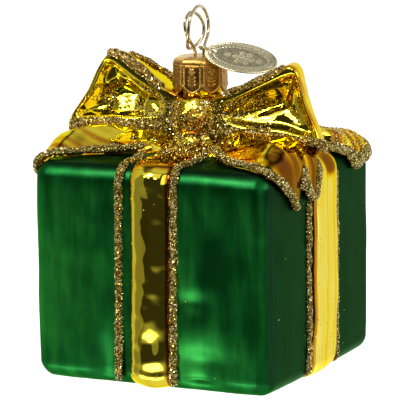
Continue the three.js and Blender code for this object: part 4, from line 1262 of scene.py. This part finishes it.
def charm():
    """A thick oval disc on a polar grid about the hole, so the hole is clean."""
    a, b = TAG["a"], TAG["b"]
    hx = -a + TAG["inset"]
    n, m = 420, 96
    th = np.linspace(0, 2 * np.pi, n, endpoint=False)
    # the rim seen from the hole
    c, s = np.cos(th), np.sin(th)
    A_ = (c / a) ** 2 + (s / b) ** 2
    B_ = 2 * hx * c / a ** 2
    C_ = (hx / a) ** 2 - 1
    far = (-B_ + np.sqrt(B_ ** 2 - 4 * A_ * C_)) / (2 * A_)
    # spread directions so that the far side isn't starved
    k = np.linspace(0, 1, m)
    rows_t, rows_b = [], []
    for f in k:
        r = TAG["hole"] + (far - TAG["hole"]) * f
        x, y = hx + r * c, r * s
        z = TAG["t"] / 2 - 0.22 + charm_relief(x, y)
        edge = np.minimum((far - r), 9) / 0.16
        z = z - 0.14 * np.clip(1 - edge, 0, 1)
        rows_t.append(np.stack([x, y, z], 1))
        zb = -(TAG["t"] / 2 - 0.12) * np.ones_like(x) - 0.1 * np.exp(-(((1 - np.sqrt((x / a) ** 2 + (y / b) ** 2)) * 7 - 0.5) / 0.4) ** 2)
        rows_b.append(np.stack([x, y, zb], 1))
    rows = rows_t + rows_b[::-1]
    V = np.vstack(rows)
    V = TC + V[:, :1] * TA + V[:, 1:2] * TB + V[:, 2:] * TN
    return mesh_object("charm_oval", V, [grid_faces(len(rows), n, True, True, flip=False)], PALE)


tag = charm()
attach(tag, "charm")
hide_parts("tag")


# ------------------------------------------------------------------ stage
def floor():
    me = bpy.data.meshes.new("floor")
    s, z = 6.0, -0.13
    me.from_pydata([(-s, -s, z), (s, -s, z), (s, s, z), (-s, s, z)], [], [(0, 1, 2, 3)])
    ob = bpy.data.objects.new("floor", me)
    bpy.context.collection.objects.link(ob)
    m, nt, b = material("floor_pale")
    set_in(b, Roughness=0.9)
    b.inputs["Base Color"].default_value = (0.86, 0.86, 0.86, 1)
    b.inputs["Specular IOR Level"].default_value = 0.1
    me.materials.append(m)
    ob.visible_glossy = False
    return ob


floor()


def world():
    w = bpy.data.worlds.new("studio")
    bpy.context.scene.world = w
    w.use_nodes = True
    nt = w.node_tree
    bg = nt.nodes["Background"]
    tc = nt.nodes.new("ShaderNodeTexCoord")
    sep = nt.nodes.new("ShaderNodeSeparateXYZ")
    nt.links.new(tc.outputs["Generated"], sep.inputs[0])
    x, y, z = sep.outputs
    flat = math_node(nt, "SQRT", math_node(nt, "MAXIMUM", math_node(nt, "ADD", math_node(nt, "MULTIPLY", x, x), math_node(nt, "MULTIPLY", y, y)), 1e-6))
    el = math_node(nt, "MULTIPLY", math_node(nt, "ARCTAN2", z, flat), 180 / math.pi)
    def patch(az, wide, e0, e1, value, soft_a=6.0, soft_e=5.0):
        """A soft-edged panel: az from the front towards the right, in degrees."""
        cx, cy = math.sin(math.radians(az)), -math.cos(math.radians(az))
        dot = math_node(nt, "ADD", math_node(nt, "MULTIPLY", x, cx), math_node(nt, "MULTIPLY", y, cy))
        dot = math_node(nt, "DIVIDE", dot, flat)
        ang = math_node(nt, "MULTIPLY", math_node(nt, "ARCCOSINE", math_node(nt, "MINIMUM", math_node(nt, "MAXIMUM", dot, -1.0), 1.0)), 180 / math.pi)
        a = maprange(nt, ang, wide + soft_a, wide - soft_a, 0, 1, True) if wide < 180 else None
        lo = maprange(nt, el, e0 - soft_e, e0 + soft_e, 0, 1, True)
        hi = maprange(nt, el, e1 + soft_e, e1 - soft_e, 0, 1, True)
        m = math_node(nt, "MULTIPLY", lo, hi)
        if a is not None:
            m = math_node(nt, "MULTIPLY", m, a)
        return math_node(nt, "MULTIPLY", m, value)
    # base of the room: pale below, mid grey round the sides
    total = maprange(nt, el, -42, -14, 0.9, 0.035, True)
    for p in PATCHES:
        total = math_node(nt, "ADD", total, patch(*p))
    nt.links.new(total, bg.inputs["Strength"])
    bg.inputs["Color"].default_value = (1, 1, 1, 1)


# azimuth, half width, low and high elevation, strength, softness across and up
PATCHES = [
    (-176, 70, -40, 50, 0.95, 5, 8),        # bright backdrop behind
    (-88, 24, -30, 55, 0.60, 3, 4),         # pale wall on the left
    (-49.0, 14.6, -25, 34, 0.22, 1.5, 3),       # dim panel left of the front
    (-26, 36, 37, 62, 0.9, 2, 2),           # soft box above the front
    (36, 15, 0, 54, 1.4, 2, 3),            # upright panel right of the camera
    (-38, 3.5, 29, 36, 11.0, 1, 1), (-24, 3.5, 29, 36, 11.0, 1, 1), (-9, 3.5, 29, 36, 11.0, 1, 1),   # three lamps
    (0, 180, 64, 95, 0.62, 10, 8),           # ceiling
    (-26, 16, -46, -30, 4.6, 5, 4),         # light bounced off the floor in front
    (98, 22, -25, 58, 0.85, 3, 4),          # right wall
]
world()


def lamp(name, loc, target, size, power):
    d = bpy.data.lights.new(name, "AREA")
    d.shape, d.size, d.energy = "SQUARE", size, power
    ob = bpy.data.objects.new(name, d)
    bpy.context.collection.objects.link(ob)
    ob.location = loc
    ob.rotation_mode = "QUATERNION"
    ob.rotation_quaternion = (Vector(target) - Vector(loc)).to_track_quat("-Z", "Y")
    return ob


lamp("key", (-0.5, -0.9, 1.1), (0, 0, 0.04), 0.35, 9)
lamp("fill", (1.1, -0.5, 0.8), (0, 0, 0.04), 0.5, 5)
lamp("floor_wash", (0.0, 1.6, 2.4), (0, 1.2, -0.13), 2.0, 70).visible_glossy = False


def camera():
    cam = bpy.data.cameras.new("camera")
    ob = bpy.data.objects.new("camera", cam)
    bpy.context.collection.objects.link(ob)
    right, up, back = (0.90023498, 0.43526241, -0.01111843), (-0.06583579, 0.16131890, 0.98470395), (0.43039822, -0.88573295, 0.17388076)
    m = Matrix((right, up, back)).transposed().to_4x4()
    m.translation = Vector((0.336554, -0.693993, 0.178618 + FOOT * MM))
    ob.matrix_world = m
    cam.sensor_width, cam.lens = 36.0, 3000 / 404 * 36
    cam.clip_start, cam.clip_end = 0.05, 40
    bpy.context.scene.camera = ob


camera()
view = bpy.context.scene.view_settings
view.view_transform, view.look, view.exposure, view.gamma = "Standard", "None", 0.0, 1.0
